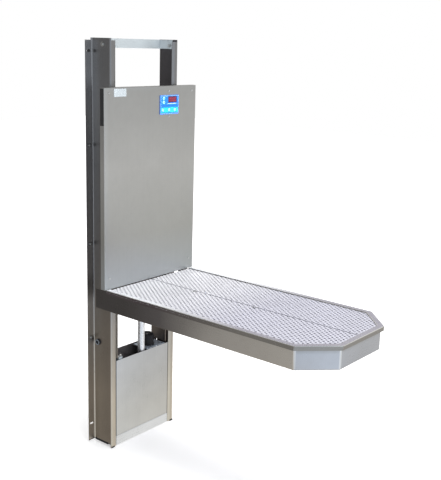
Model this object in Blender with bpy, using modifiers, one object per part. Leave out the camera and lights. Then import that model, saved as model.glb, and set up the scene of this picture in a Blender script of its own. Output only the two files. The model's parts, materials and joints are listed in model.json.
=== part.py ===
"""Wall-mounted powered lift table with an octagonal grated top.

Frame: +X to the right along the wall, +Z up, the wall is the plane y = 0 and the table
reaches out towards -Y. The origin is on the wall at floor level, midway between the uprights.
All lengths are in metres.
"""
import math

import bmesh
import bpy
from mathutils import Vector

# ---------------------------------------------------------------- gauges and clearances
SHEET = 0.0025              # structural sheet: uprights, crossbars, tray frame
SKIN = 0.0015               # covers and the tub
PLATE = 0.006               # carriage plate
SKIN_BEND = 0.0025          # outer bend radius of skins
GAP = 0.0003                # left between pieces that touch
HOLE_SPACE = 0.0004         # radial space round a shank in its hole

# ---------------------------------------------------------------- mast
MAST_HEIGHT = 1.985
MAST_HALF = 0.222           # centre line to the outer face of an upright's web
MAST_DEPTH = 0.122          # wall to the front face of an upright's flange
WING = 0.041                # wall flange, outwards from the web
FLANGE = 0.022              # flat part of the front flange
LIP = 0.0145                # stiffening lip on the flange, turned back
LIP_ANGLE = math.radians(22)
BEND = 0.006                # outer bend radius of the uprights
FOOT_NOTCH = 0.022          # web and wall flange stop this far above the floor
TOP_DROP = 0.010            # wall flange and front flange stop this far below the web
SLOT_HEIGHTS = (0.106, 0.560, 1.030, 1.499, 1.927)
SLOT_WIDTH = 0.022
SLOT_TALL = 0.009
CROSSBAR_LOW = 1.941
CROSSBAR_TALL = 0.043
CROSSBAR_TAB = 0.090
TIE_BOLT_Y = -0.071
TIE_BOLT_Z = 1.957
TIE_BOLT_RADIUS = 0.004
INLET = (-0.032, 0.539)     # y, z

# ---------------------------------------------------------------- housing of the lift drive
COVER_HALF = 0.183
COVER_FRONT = -0.1185
COVER_TOP = 0.451
COVER_RETURN = 0.013        # side returns of the motor cover
BASE_TOP = 0.054
BACK_PLATE_TOP = 0.455
COLUMN_X = 0.010
COLUMN_Y = -0.094
TUBE_RADIUS = 0.018
TUBE_BORE = 0.015
TUBE_TOP = 0.770
ROD_RADIUS = 0.013
ROD_BORE = 0.0094
ROD_LOW = 0.470
ROD_TOP = 1.060
ROD_BOLT_RADIUS = 0.005
SCREW_RADIUS = 0.008
SCREW_TOP = 0.735
GEARBOX_TOP = 0.120
MOTOR_X = 0.085
MOTOR_Y = -0.062
MOTOR_RADIUS = 0.036
MOTOR_TOP = 0.500
SHELF_Z = 0.452

# ---------------------------------------------------------------- carriage
SIDE_OUTER = 0.174          # outer face of a carriage side plate
SIDE_BACK = -0.012
SIDE_LOW = 0.460
NARROW_FRONT = -0.112       # below the tray the side plates stay behind the motor cover
WIDE_FRONT = -0.158
FRAME_LOW = 0.745
FRAME_TOP = 1.600
FACE_FRONT = -0.164
ROD_SHELF_THICK = 0.010
STRAP_HALF = 0.040
STRAP_TOP = 1.765
UPPER_WHEEL = (-MAST_DEPTH + SHEET + 0.020 + GAP, 1.560, 0.020)    # y, z, radius
LOWER_WHEEL = (-MAST_DEPTH - 0.017 - GAP, 0.790, 0.017)
WHEEL_IN = 0.2017
WHEEL_OUT = 0.2177
AXLE_RADIUS = 0.005

# ---------------------------------------------------------------- back panel and controls
PANEL_HALF = 0.305
PANEL_FRONT = -0.170
PANEL_LOW = 0.846
PANEL_TOP = 1.772
PANEL_RETURN = 0.027
BAR_HALF = 0.300
SCREW_X = 0.275
SCREW_ROWS = (0.898, 1.747)
FASCIA_X = 0.1135
FASCIA_Z = 1.6835
FASCIA_WIDE = 0.127
FASCIA_TALL = 0.089
FASCIA_THICK = 0.003
FASCIA_SCREW_ROWS = (1.6264, 1.7478)
DISPLAY = (0.134, 1.708, 0.058, 0.0275)     # centre x, centre z, width, height
BUTTONS = {
    "lift_up_button": (0.074, 1.7145),
    "lift_down_button": (0.074, 1.6955),
    "zero_button": (0.068, 1.659),
    "units_button": (0.111, 1.659),
    "hold_button": (0.151, 1.659),
}
BUTTON_RADIUS = 0.0075

# ---------------------------------------------------------------- table top
TRAY_HALF = 0.300
TRAY_FRONT = 1.366          # wall to the outermost edge
TRAY_TOP = 0.847
CHAMFER = 0.138
RIM_LIP = 0.010
RIM_WIDE = 0.028
APRON_INSET = 0.012
APRON_LOW = 0.740
APRON_TOP = 0.8365
APRON_FLANGE = 0.045
ARM_REAR = -0.088
TUB_REAR = -0.1735
TUB_LEDGE = 0.008           # how far the tub's flange shows inside the rim
TUB_FLANGE = 0.010          # how far it runs on under the rim
TUB_FLOOR = 0.7755
GRATE_THICK = 0.003
GRATE_TOP = 0.843
LEDGE_Z = GRATE_TOP - GRATE_THICK - GAP
GRATE_SPLIT = 0.0015        # each grate stops this far from the centre line
SPINE_HALF = 0.004
DRAIN = (0.110, -0.330)
DRAIN_RADIUS = 0.018
LOAD_CELL_ROWS = (-0.300, -1.150)
LOAD_CELL_WIDE = 0.026
LOAD_CELL_LONG = 0.120
LOAD_CELL_SPACE = 0.001     # between a load cell and the flange's edge


# ---------------------------------------------------------------- scene and materials
def clear_scene():
    for obj in list(bpy.data.objects):
        bpy.data.objects.remove(obj, do_unlink=True)


def new_collection(name):
    made = bpy.data.collections.new(name)
    bpy.context.scene.collection.children.link(made)
    return made


def make_material(name, colour, roughness, metallic):
    made = bpy.data.materials.new(name)
    made.use_nodes = True
    shader = made.node_tree.nodes["Principled BSDF"]
    shader.inputs["Base Color"].default_value = (*colour, 1.0)
    shader.inputs["Roughness"].default_value = roughness
    shader.inputs["Metallic"].default_value = metallic
    made.diffuse_color = (*colour, 1.0)
    return made


clear_scene()
PARTS = new_collection("wall_lift_table")
CUTTERS = new_collection("cutters")

FINISHES = {
    "stainless": ((0.52, 0.51, 0.49), 0.32, 1.0),
    "bright_stainless": ((0.72, 0.73, 0.74), 0.25, 1.0),
    "panel_stainless": ((0.42, 0.42, 0.41), 0.38, 1.0),
    "grate_steel": ((0.74, 0.73, 0.80), 0.35, 0.9),
    "carriage_steel": ((0.16, 0.14, 0.13), 0.50, 0.8),
    "chrome_tube": ((0.62, 0.63, 0.62), 0.20, 1.0),
    "zinc_steel": ((0.60, 0.60, 0.58), 0.40, 1.0),
    "motor_paint": ((0.02, 0.02, 0.025), 0.45, 0.0),
    "cast_aluminium": ((0.50, 0.51, 0.53), 0.45, 1.0),
    "nylon": ((0.75, 0.74, 0.70), 0.50, 0.0),
    "rubber": ((0.02, 0.02, 0.02), 0.80, 0.0),
    "control_blue": ((0.02, 0.22, 0.80), 0.30, 0.0),
    "key_cyan": ((0.10, 0.75, 1.00), 0.35, 0.0),
    "display_red": ((0.35, 0.02, 0.06), 0.15, 0.0),
    "label_white": ((0.85, 0.86, 0.86), 0.45, 0.0),
}


def finish(obj, kind):
    """Give an object its own copy of a finish."""
    colour, roughness, metallic = FINISHES[kind]
    obj.data.materials.append(make_material(obj.name + "_" + kind, colour, roughness, metallic))
    return obj


# ---------------------------------------------------------------- shape helpers
def place(name, mesh, kind=None):
    """Link a mesh as a part, or as a cutter when it has no finish."""
    obj = bpy.data.objects.new(name, mesh)
    if kind is None:
        CUTTERS.objects.link(obj)
        obj.hide_render = True
        obj.display_type = "WIRE"
        return obj
    PARTS.objects.link(obj)
    return finish(obj, kind)


def mesh_of(bm, name):
    mesh = bpy.data.meshes.new(name)
    bm.to_mesh(mesh)
    bm.free()
    return mesh


def box(name, low, high, kind=None):
    low, high = Vector(low), Vector(high)
    bm = bmesh.new()
    bmesh.ops.create_cube(bm, size=1.0)
    bmesh.ops.scale(bm, vec=high - low, verts=bm.verts)
    obj = place(name, mesh_of(bm, name), kind)
    obj.location = (low + high) / 2
    return obj


def rod(name, start, end, radius, kind=None, sides=16):
    """A plain round bar between two points."""
    start, end = Vector(start), Vector(end)
    bm = bmesh.new()
    bmesh.ops.create_cone(bm, cap_ends=True, segments=sides, radius1=radius, radius2=radius,
                          depth=(end - start).length)
    mesh = mesh_of(bm, name)
    mesh.shade_smooth()
    mesh.set_sharp_from_angle(angle=math.radians(40))
    obj = place(name, mesh, kind)
    obj.location = (start + end) / 2
    obj.rotation_mode = "QUATERNION"
    obj.rotation_quaternion = (end - start).to_track_quat("Z", "Y")
    return obj


def turned(name, profile, kind, origin, direction=(0, 0, 1), closed=False, steps=24):
    """Turn a profile of (radius, height) points about an axis through the origin given."""
    bm = bmesh.new()
    verts = [bm.verts.new((radius, 0, height)) for radius, height in profile]
    for first, second in zip(verts, verts[1:]):
        bm.edges.new((first, second))
    if closed:
        bm.edges.new((verts[-1], verts[0]))
    obj = place(name, mesh_of(bm, name), kind)
    screw = obj.modifiers.new("turn", "SCREW")
    screw.steps = steps
    screw.render_steps = steps
    screw.use_merge_vertices = True
    screw.merge_threshold = 0.00005
    obj.location = origin
    obj.rotation_mode = "QUATERNION"
    obj.rotation_quaternion = Vector(direction).to_track_quat("Z", "Y")
    return obj


def prism(name, outline, normal, low, high, kind=None):
    """Extrude a flat outline along X, Y or Z from low to high."""
    axis = "XYZ".index(normal)
    others = [index for index in range(3) if index != axis]
    bm = bmesh.new()
    verts = []
    for pair in outline:
        point = [0.0, 0.0, 0.0]
        point[axis] = low
        point[others[0]], point[others[1]] = pair
        verts.append(bm.verts.new(point))
    face = bm.faces.new(verts)
    grown = bmesh.ops.extrude_face_region(bm, geom=[face])
    moved = [item for item in grown["geom"] if isinstance(item, bmesh.types.BMVert)]
    step = [0.0, 0.0, 0.0]
    step[axis] = high - low
    bmesh.ops.translate(bm, vec=step, verts=moved)
    bmesh.ops.recalc_face_normals(bm, faces=bm.faces)
    return place(name, mesh_of(bm, name), kind)


def sheet(name, rings, thickness, kind, closed_from=None, floor=False, bend=0.0):
    """Join rows of points into a sheet, round its folds and thicken it behind its faces.

    Rows are open, apart from those from closed_from on. floor fills the last row.
    """
    bm = bmesh.new()
    rows = [[bm.verts.new(point) for point in ring] for ring in rings]
    for index, (row, following) in enumerate(zip(rows, rows[1:])):
        wraps = closed_from is not None and index >= closed_from
        for here in range(len(row) if wraps else len(row) - 1):
            there = (here + 1) % len(row)
            bm.faces.new((row[here], row[there], following[there], following[here]))
    if floor:
        bm.faces.new(rows[-1])
    obj = place(name, mesh_of(bm, name), kind)
    if bend:
        fold = obj.modifiers.new("folds", "BEVEL")
        fold.width = bend
        fold.segments = 2
        fold.limit_method = "ANGLE"
        fold.angle_limit = math.radians(20)
    thick = obj.modifiers.new("gauge", "SOLIDIFY")
    thick.thickness = thickness
    thick.offset = -1.0
    thick.use_even_offset = True
    return obj


def cut(target, *cutters):
    for cutter in cutters:
        step = target.modifiers.new(cutter.name, "BOOLEAN")
        step.operation = "DIFFERENCE"
        step.solver = "EXACT"
        step.object = cutter


def join(target, *others):
    """Boolean union, for pieces that are welded into one."""
    for other in others:
        step = target.modifiers.new(other.name, "BOOLEAN")
        step.operation = "UNION"
        step.solver = "EXACT"
        step.object = other


def rounded(points, radius, steps=4):
    """A polyline with its inner corners rounded to a radius."""
    points = [Vector(point) for point in points]
    path = [points[0]]
    for before, corner, after in zip(points, points[1:], points[2:]):
        back = (before - corner).normalized()
        ahead = (after - corner).normalized()
        half = back.angle(ahead) / 2
        reach = radius / math.tan(half)
        centre = corner + (back + ahead).normalized() * (radius / math.sin(half))
        start = corner + back * reach - centre
        turn = (math.pi - 2 * half) / steps
        sign = 1 if back.cross(ahead) < 0 else -1
        for step in range(steps + 1):
            angle = sign * turn * step
            swung = Vector((start.x * math.cos(angle) - start.y * math.sin(angle),
                            start.x * math.sin(angle) + start.y * math.cos(angle)))
            path.append(centre + swung)
    path.append(points[-1])
    return path


def upright_rows(path, low, high):
    """Two rows of points, so a flat path becomes a standing sheet."""
    return [[(point[0], point[1], height) for point in path] for height in (low, high)]


def slot_outline(x, z, wide, tall, steps=5):
    """A horizontal slot with round ends."""
    radius = tall / 2
    points = []
    for side in (1, -1):
        for step in range(steps + 1):
            angle = -math.pi / 2 + math.pi * step / steps
            reach = wide / 2 - radius + radius * math.cos(angle)
            points.append((x + side * reach, z + side * radius * math.sin(angle)))
    return points


# ---------------------------------------------------------------- mast
def upright(name, side):
    """Formed upright: wall flange, web and lipped front flange."""
    path = [
        (-MAST_HALF - WING, -SHEET),
        (-MAST_HALF, -SHEET),
        (-MAST_HALF, -MAST_DEPTH),
        (-MAST_HALF + FLANGE, -MAST_DEPTH),
        (-MAST_HALF + FLANGE + LIP * math.cos(LIP_ANGLE), -MAST_DEPTH + LIP * math.sin(LIP_ANGLE)),
    ]
    line = rounded(path, BEND)
    if side > 0:
        line = [Vector((-point.x, point.y)) for point in reversed(line)]
    obj = sheet(name, upright_rows(line, 0.0, MAST_HEIGHT), SHEET, "stainless")
    inner = MAST_HALF - SHEET
    outer = MAST_HALF + WING + SHEET
    past_bend = BEND + 0.001
    spans = {
        "foot": ((inner - SHEET, outer), (-MAST_DEPTH + past_bend, SHEET), (-SHEET, FOOT_NOTCH)),
        "wing_top": ((MAST_HALF + past_bend, outer), (-BEND, SHEET),
                     (MAST_HEIGHT - TOP_DROP, MAST_HEIGHT + SHEET)),
        "flange_top": ((MAST_HALF - FLANGE - LIP - SHEET, MAST_HALF - past_bend),
                       (-MAST_DEPTH - SHEET, -MAST_DEPTH + 3 * BEND),
                       (MAST_HEIGHT - TOP_DROP, MAST_HEIGHT + SHEET)),
    }
    for label, (across, deep, tall) in spans.items():
        reach = sorted((side * across[0], side * across[1]))
        cut(obj, box(name + "_" + label, (reach[0], deep[0], tall[0]), (reach[1], deep[1], tall[1])))
    slot_x = side * (MAST_HALF + WING / 2 + BEND / 4)
    for row, height in enumerate(SLOT_HEIGHTS):
        outline = slot_outline(slot_x, height, SLOT_WIDTH, SLOT_TALL)
        cut(obj, prism(f"{name}_slot_{row}", outline, "Y", -2 * SHEET, SHEET))
    cut(obj, tie_bolt_hole(name, side))


def tie_bolt_hole(name, side):
    reach = 0.012
    start = (side * (MAST_HALF - reach), TIE_BOLT_Y, TIE_BOLT_Z)
    end = (side * (MAST_HALF + reach), TIE_BOLT_Y, TIE_BOLT_Z)
    return rod(name + "_tie_hole", start, end, TIE_BOLT_RADIUS + HOLE_SPACE, sides=12)


def top_crossbar():
    """Flat bar on the wall whose ends turn forward along the webs."""
    half = MAST_HALF - SHEET - GAP
    path = rounded([(half, -CROSSBAR_TAB), (half, 0.0), (-half, 0.0), (-half, -CROSSBAR_TAB)], 0.004)
    rows = upright_rows(path, CROSSBAR_LOW, CROSSBAR_LOW + CROSSBAR_TALL)
    obj = sheet("top_crossbar", rows, SHEET, "bright_stainless")
    for side in (-1, 1):
        cut(obj, tie_bolt_hole(f"crossbar_{side + 2}", side))


def tie_bolt(name, side):
    """Hex bolt and nut clamping a crossbar tab to the web."""
    head, shank, nut = 0.0095, TIE_BOLT_RADIUS, 0.008
    outer = 0.0065
    inner = -(2 * SHEET + 3 * GAP)
    profile = [(0, outer), (head, outer), (head, GAP), (shank, GAP), (shank, inner),
               (nut, inner), (nut, inner - 0.006), (0, inner - 0.006)]
    turned(name, profile, "zinc_steel", (side * MAST_HALF, TIE_BOLT_Y, TIE_BOLT_Z),
           (side, 0, 0), steps=12)


def foot_trim(name, side):
    """Rubber edge strip under the web and wall flange."""
    low, high = FOOT_NOTCH - 0.005, FOOT_NOTCH - GAP
    web = [(MAST_HALF - SHEET, -MAST_DEPTH + BEND + 0.002), (MAST_HALF, -MAST_DEPTH + BEND + 0.002),
           (MAST_HALF, -SHEET), (MAST_HALF + WING, -SHEET), (MAST_HALF + WING, 0.0),
           (MAST_HALF - SHEET, 0.0)]
    prism(name, [(side * x, y) for x, y in web], "Z", low, high, "rubber")


def base_crossbar():
    """Front strip at the floor with a shelf turned back to carry the drive."""
    half = COVER_HALF
    front = COVER_FRONT
    rows = [
        [(half, front, 0.003), (-half, front, 0.003)],
        [(half, front, BASE_TOP), (-half, front, BASE_TOP)],
        [(half, -0.006, BASE_TOP), (-half, -0.006, BASE_TOP)],
    ]
    sheet("base_crossbar", [row[::-1] for row in rows], SHEET, "bright_stainless", bend=BEND)


def motor_cover():
    """Removable front cover with short side returns."""
    path = rounded([(-COVER_HALF, COVER_FRONT + COVER_RETURN), (-COVER_HALF, COVER_FRONT),
                    (COVER_HALF, COVER_FRONT), (COVER_HALF, COVER_FRONT + COVER_RETURN)], 0.003)
    sheet("motor_cover", upright_rows(path, BASE_TOP + GAP, COVER_TOP), SKIN, "panel_stainless")


def housing_back_plate():
    half = MAST_HALF - SHEET - GAP
    box("housing_back_plate", (-half, -0.002, FOOT_NOTCH), (half, 0.0, BACK_PLATE_TOP), "stainless")


def gearbox():
    obj = box("gearbox", (COLUMN_X - 0.028, -0.112, BASE_TOP + GAP),
              (MOTOR_X + 0.042, -0.018, GEARBOX_TOP), "cast_aluminium")
    soften = obj.modifiers.new("cast_edges", "BEVEL")
    soften.width = 0.006
    soften.segments = 2


def drive_motor():
    low = GEARBOX_TOP + GAP
    profile = [(0, MOTOR_TOP), (MOTOR_RADIUS - 0.012, MOTOR_TOP), (MOTOR_RADIUS, MOTOR_TOP - 0.010),
               (MOTOR_RADIUS, low + 0.008), (MOTOR_RADIUS - 0.004, low), (0, low)]
    turned("drive_motor", profile, "motor_paint", (MOTOR_X, MOTOR_Y, 0))


def motor_shelf():
    """Plate that steadies the top of the motor and closes the housing beside the column."""
    obj = box("motor_shelf", (COLUMN_X + TUBE_RADIUS + 0.004, -0.1155, SHELF_Z),
              (0.160, -0.016, SHELF_Z + SHEET), "bright_stainless")
    cut(obj, rod("motor_shelf_hole", (MOTOR_X, MOTOR_Y, SHELF_Z - 0.01),
                 (MOTOR_X, MOTOR_Y, SHELF_Z + 0.01), MOTOR_RADIUS + 0.001, sides=24))


def actuator_tube():
    low, top = GEARBOX_TOP + GAP, TUBE_TOP
    profile = [(TUBE_RADIUS, top), (TUBE_RADIUS, low), (TUBE_BORE, low), (TUBE_BORE, top)]
    turned("actuator_tube", profile, "chrome_tube", (COLUMN_X, COLUMN_Y, 0), closed=True)


def lead_screw():
    low = GEARBOX_TOP + 2 * GAP
    profile = [(0, SCREW_TOP), (SCREW_RADIUS - 0.001, SCREW_TOP), (SCREW_RADIUS, SCREW_TOP - 0.002),
               (SCREW_RADIUS, low), (0, low)]
    turned("lead_screw", profile, "zinc_steel", (COLUMN_X, COLUMN_Y, 0), steps=12)


def actuator_rod():
    """Hollow push rod; its lower end is the nut that runs on the lead screw."""
    nut = SCREW_RADIUS + HOLE_SPACE
    roof = ROD_TOP - 0.040
    pilot = ROD_BOLT_RADIUS + HOLE_SPACE
    profile = [(ROD_RADIUS, ROD_TOP), (ROD_RADIUS, ROD_LOW), (nut, ROD_LOW), (nut, ROD_LOW + 0.030),
               (ROD_BORE, ROD_LOW + 0.032), (ROD_BORE, roof), (pilot, roof), (pilot, ROD_TOP)]
    turned("actuator_rod", profile, "chrome_tube", (COLUMN_X, COLUMN_Y, 0), closed=True, steps=20)


def stop_post(name, side):
    """Post on the base shelf that catches the carriage at its lowest."""
    rod(name, (side * (SIDE_OUTER - PLATE / 2), -0.062, BASE_TOP + GAP),
        (side * (SIDE_OUTER - PLATE / 2), -0.062, 0.178), 0.009, "rubber", sides=12)


def limit_switch():
    box("limit_switch", (-0.163, -0.113, 0.430), (-0.138, -0.090, 0.462), "label_white")


def power_inlet():
    """Recessed supply socket in the left web."""
    profile = [(0, 0.001), (0.009, 0.001), (0.009, 0.008), (0.0135, 0.008), (0.0155, 0.006),
               (0.0155, GAP), (0.0105, GAP), (0.0105, -0.010), (0, -0.010)]
    turned("power_inlet", profile, "rubber", (-MAST_HALF, *INLET), (-1, 0, 0), steps=20)
    hole = rod("inlet_hole", (-MAST_HALF - 0.01, *INLET), (-MAST_HALF + 0.01, *INLET),
               0.0105 + HOLE_SPACE, sides=20)
    cut(bpy.data.objects["left_upright"], hole)


# ---------------------------------------------------------------- carriage
def carriage_frame():
    """Weldment: two side plates, a face plate with its strap, and the push rod's bracket."""
    side_outline = [
        (SIDE_BACK, SIDE_LOW), (NARROW_FRONT, SIDE_LOW), (NARROW_FRONT, FRAME_LOW),
        (WIDE_FRONT - PLATE / 2, FRAME_LOW), (WIDE_FRONT - PLATE / 2, FRAME_TOP), (SIDE_BACK, FRAME_TOP),
    ]
    inner = SIDE_OUTER - PLATE
    face_outline = [
        (-SIDE_OUTER, FRAME_LOW), (SIDE_OUTER, FRAME_LOW), (SIDE_OUTER, FRAME_TOP),
        (STRAP_HALF, FRAME_TOP), (STRAP_HALF, STRAP_TOP), (-STRAP_HALF, STRAP_TOP),
        (-STRAP_HALF, FRAME_TOP), (-SIDE_OUTER, FRAME_TOP),
    ]
    face = prism("carriage_frame", face_outline, "Y", FACE_FRONT, WIDE_FRONT, "carriage_steel")
    window = box("carriage_window", (-0.110, FACE_FRONT - PLATE, 1.160), (0.110, -0.150, 1.520))
    cut(face, window)
    left = prism("carriage_side_left", side_outline, "X", -SIDE_OUTER, -inner)
    right = prism("carriage_side_right", side_outline, "X", inner, SIDE_OUTER)
    shelf = box("carriage_rod_shelf", (-inner - PLATE / 2, WIDE_FRONT - PLATE / 2, ROD_TOP + GAP),
                (inner + PLATE / 2, -0.060, ROD_TOP + GAP + ROD_SHELF_THICK))
    join(face, left, right, shelf)
    bolt_hole = rod("rod_bolt_hole", (COLUMN_X, COLUMN_Y, ROD_TOP - 0.01),
                    (COLUMN_X, COLUMN_Y, ROD_TOP + 0.03), ROD_BOLT_RADIUS + HOLE_SPACE, sides=12)
    cut(face, bolt_hole)
    for label, (y, z, _) in {"upper": UPPER_WHEEL, "lower": LOWER_WHEEL}.items():
        through = rod(f"axle_hole_{label}", (-SIDE_OUTER - 0.01, y, z), (SIDE_OUTER + 0.01, y, z),
                      AXLE_RADIUS + HOLE_SPACE, sides=12)
        cut(face, through)


def rod_end_bolt():
    top = ROD_TOP + GAP + ROD_SHELF_THICK
    head, shank, foot = 0.010, ROD_BOLT_RADIUS, ROD_TOP - 0.030
    profile = [(0, top + 0.008), (head, top + 0.008), (head, top + GAP), (shank, top + GAP),
               (shank, foot), (0, foot)]
    turned("rod_end_bolt", profile, "zinc_steel", (COLUMN_X, COLUMN_Y, 0), steps=12)


def wheel_and_axle(label, side, wheel):
    """A nylon roller on the flange and the shouldered axle that carries it."""
    y, z, radius = wheel
    bore = AXLE_RADIUS + HOLE_SPACE
    edge = 0.0015
    tread = [(radius - edge, WHEEL_OUT), (radius, WHEEL_OUT - edge), (radius, WHEEL_IN + edge),
             (radius - edge, WHEEL_IN), (bore, WHEEL_IN), (bore, WHEEL_OUT)]
    turned("roller_" + label, tread, "nylon", (0, y, z), (side, 0, 0), closed=True, steps=24)
    collar = 0.009
    pin = [(0, WHEEL_OUT + 0.0012), (AXLE_RADIUS, WHEEL_OUT + 0.0012), (AXLE_RADIUS, WHEEL_IN - GAP),
           (collar, WHEEL_IN - GAP), (collar, SIDE_OUTER + GAP), (AXLE_RADIUS, SIDE_OUTER + GAP),
           (AXLE_RADIUS, SIDE_OUTER - PLATE - GAP), (collar, SIDE_OUTER - PLATE - GAP),
           (collar, SIDE_OUTER - PLATE - 0.007), (0, SIDE_OUTER - PLATE - 0.007)]
    turned("axle_" + label, pin, "zinc_steel", (0, y, z), (side, 0, 0), steps=12)


def cross_bars():
    """Bars that carry the back panel, and the plate that carries the tray frame."""
    front, back = PANEL_FRONT + SKIN + GAP, FACE_FRONT - GAP
    for name, (low, high), row in (("lower_panel_bar", (0.885, 0.911), SCREW_ROWS[0]),
                                   ("upper_panel_bar", (1.735, 1.760), SCREW_ROWS[1])):
        bar = box(name, (-BAR_HALF, front, low), (BAR_HALF, back, high), "zinc_steel")
        for side in (-1, 1):
            cut(bar, screw_hole(f"{name}_hole_{side + 2}", side * SCREW_X, row))
        if row == SCREW_ROWS[1]:
            cut(bar, screw_hole("fascia_bar_hole", FASCIA_X, FASCIA_SCREW_ROWS[1]))
    half = TRAY_HALF - APRON_INSET - SHEET - GAP
    box("tray_cross_plate", (-half, FACE_FRONT - GAP - PLATE, APRON_LOW + BEND + SHEET),
        (half, FACE_FRONT - GAP, APRON_TOP - SHEET), "carriage_steel")


def screw_hole(name, x, z):
    return rod(name, (x, PANEL_FRONT - 0.01, z), (x, WIDE_FRONT + 0.002, z), 0.0024, sides=10)


def panel_screw(name, x, z, length):
    """Domed machine screw through the panel."""
    profile = [(0, 0.0030), (0.0030, 0.0026), (0.0048, 0.0014), (0.0052, GAP), (0.0020, GAP),
               (0.0020, -length), (0, -length)]
    turned(name, profile, "zinc_steel", (x, PANEL_FRONT, z), (0, -1, 0), steps=12)


def back_panel():
    """Sheet panel with top and side returns, pierced for the control unit and its screws."""
    rows = []
    for depth in (PANEL_FRONT + PANEL_RETURN, PANEL_FRONT):
        rows.append([(PANEL_HALF, depth, PANEL_LOW), (PANEL_HALF, depth, PANEL_TOP),
                     (-PANEL_HALF, depth, PANEL_TOP), (-PANEL_HALF, depth, PANEL_LOW)])
    obj = sheet("back_panel", rows, SKIN, "panel_stainless", floor=True, bend=SKIN_BEND)
    cut(obj, box("panel_window", (FASCIA_X - 0.052, PANEL_FRONT - 0.01, FASCIA_Z - 0.034),
                 (FASCIA_X + 0.052, PANEL_FRONT + 0.01, FASCIA_Z + 0.034)))
    number = 1
    for row in SCREW_ROWS:
        for side in (-1, 1):
            cut(obj, screw_hole(f"panel_hole_{number}", side * SCREW_X, row))
            panel_screw(f"panel_screw_{number}", side * SCREW_X, row, 0.011)
            number += 1
    for index, row in enumerate(FASCIA_SCREW_ROWS, start=1):
        cut(obj, screw_hole(f"fascia_hole_{index}", FASCIA_X, row))
        panel_screw(f"fascia_screw_{index}", FASCIA_X, row, 0.003)


def control_unit():
    """Electronics box behind the panel, keypad plate in front of it, display and keys."""
    box("control_box", (FASCIA_X - 0.058, PANEL_FRONT + SKIN + GAP, FASCIA_Z - 0.040),
        (FASCIA_X + 0.058, -0.130, FASCIA_Z + 0.040), "motor_paint")
    back = PANEL_FRONT - GAP
    low = (FASCIA_X - FASCIA_WIDE / 2, back - FASCIA_THICK, FASCIA_Z - FASCIA_TALL / 2)
    high = (FASCIA_X + FASCIA_WIDE / 2, back, FASCIA_Z + FASCIA_TALL / 2)
    fascia = box("control_fascia", low, high, "control_blue")
    x, z, wide, tall = DISPLAY
    space = GAP
    cut(fascia, box("display_hole", (x - wide / 2 - space, back - 0.01, z - tall / 2 - space),
                    (x + wide / 2 + space, back + 0.01, z + tall / 2 + space)))
    box("display_window", (x - wide / 2, back - FASCIA_THICK + 0.0004, z - tall / 2),
        (x + wide / 2, back - 0.0004, z + tall / 2), "display_red")
    for name, (key_x, key_z) in BUTTONS.items():
        cut(fascia, rod(name + "_hole", (key_x, back - 0.01, key_z), (key_x, back + 0.01, key_z),
                        BUTTON_RADIUS + HOLE_SPACE, sides=20))
        crown = FASCIA_THICK + 0.0010
        profile = [(0, crown), (BUTTON_RADIUS - 0.0012, crown), (BUTTON_RADIUS, crown - 0.0008),
                   (BUTTON_RADIUS, 0.0015), (0, 0.0015)]
        turned(name, profile, "key_cyan", (key_x, back, key_z), (0, -1, 0), steps=20)


# ---------------------------------------------------------------- table top
def tray_outline(inset, rear):
    """The octagonal outline moved inwards, from rear left round the front to rear right."""
    slide = inset * math.tan(math.radians(22.5))
    half = TRAY_HALF - inset
    shoulder = -TRAY_FRONT + CHAMFER + slide
    end_half = TRAY_HALF - CHAMFER - slide
    front = -TRAY_FRONT + inset
    return [(-half, rear), (-half, shoulder), (-end_half, front),
            (end_half, front), (half, shoulder), (half, rear)]


def at_height(outline, height):
    return [(x, y, height) for x, y in outline]


def tray_frame():
    """Apron with an inturned bottom flange; its sides run back past the panel as arms."""
    outer = tray_outline(APRON_INSET, ARM_REAR)
    inner = tray_outline(APRON_INSET + APRON_FLANGE, ARM_REAR)
    rows = [at_height(inner, APRON_LOW), at_height(outer, APRON_LOW), at_height(outer, APRON_TOP)]
    sheet("tray_frame", rows, SHEET, "stainless", bend=BEND)


def tray_rim():
    """Folded rim round three sides: outer lip, flat top and an inner leg that stands on the tub."""
    rows = [
        at_height(tray_outline(0.0, TUB_REAR), TRAY_TOP - RIM_LIP),
        at_height(tray_outline(0.0, TUB_REAR), TRAY_TOP),
        at_height(tray_outline(RIM_WIDE, TUB_REAR), TRAY_TOP),
        at_height(tray_outline(RIM_WIDE, TUB_REAR), LEDGE_Z + GAP),
    ]
    sheet("tray_rim", rows, SKIN, "stainless", bend=SKIN_BEND)


def tray_tub():
    """Tub walls; their flange lies under the rim and carries the grates."""
    wall = RIM_WIDE + TUB_LEDGE
    rear = TUB_REAR - TUB_LEDGE
    rows = [
        at_height(tray_outline(RIM_WIDE - TUB_FLANGE, TUB_REAR), LEDGE_Z),
        at_height(tray_outline(wall, rear), LEDGE_Z),
        at_height(tray_outline(wall, rear), TUB_FLOOR + GAP),
    ]
    sheet("tray_tub", rows, SKIN, "stainless", closed_from=0)


def tub_floor():
    """Plate that closes the tub from below, with the drain's hole."""
    plan = tray_outline(RIM_WIDE + TUB_LEDGE - SKIN, TUB_REAR - TUB_LEDGE + SKIN)
    obj = prism("tub_floor", plan, "Z", TUB_FLOOR - SHEET, TUB_FLOOR, "stainless")
    cut(obj, rod("drain_hole", (*DRAIN, TUB_FLOOR - 0.01), (*DRAIN, TUB_FLOOR + 0.01),
                 DRAIN_RADIUS + HOLE_SPACE, sides=24))


def drain_fitting():
    bore = DRAIN_RADIUS - 0.003
    profile = [(0.027, 0.0020), (0.028, 0.0010), (0.028, GAP), (DRAIN_RADIUS, GAP),
               (DRAIN_RADIUS, -0.030), (bore, -0.030), (bore, 0.0020)]
    turned("drain_fitting", profile, "bright_stainless", (*DRAIN, TUB_FLOOR), closed=True)


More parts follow.
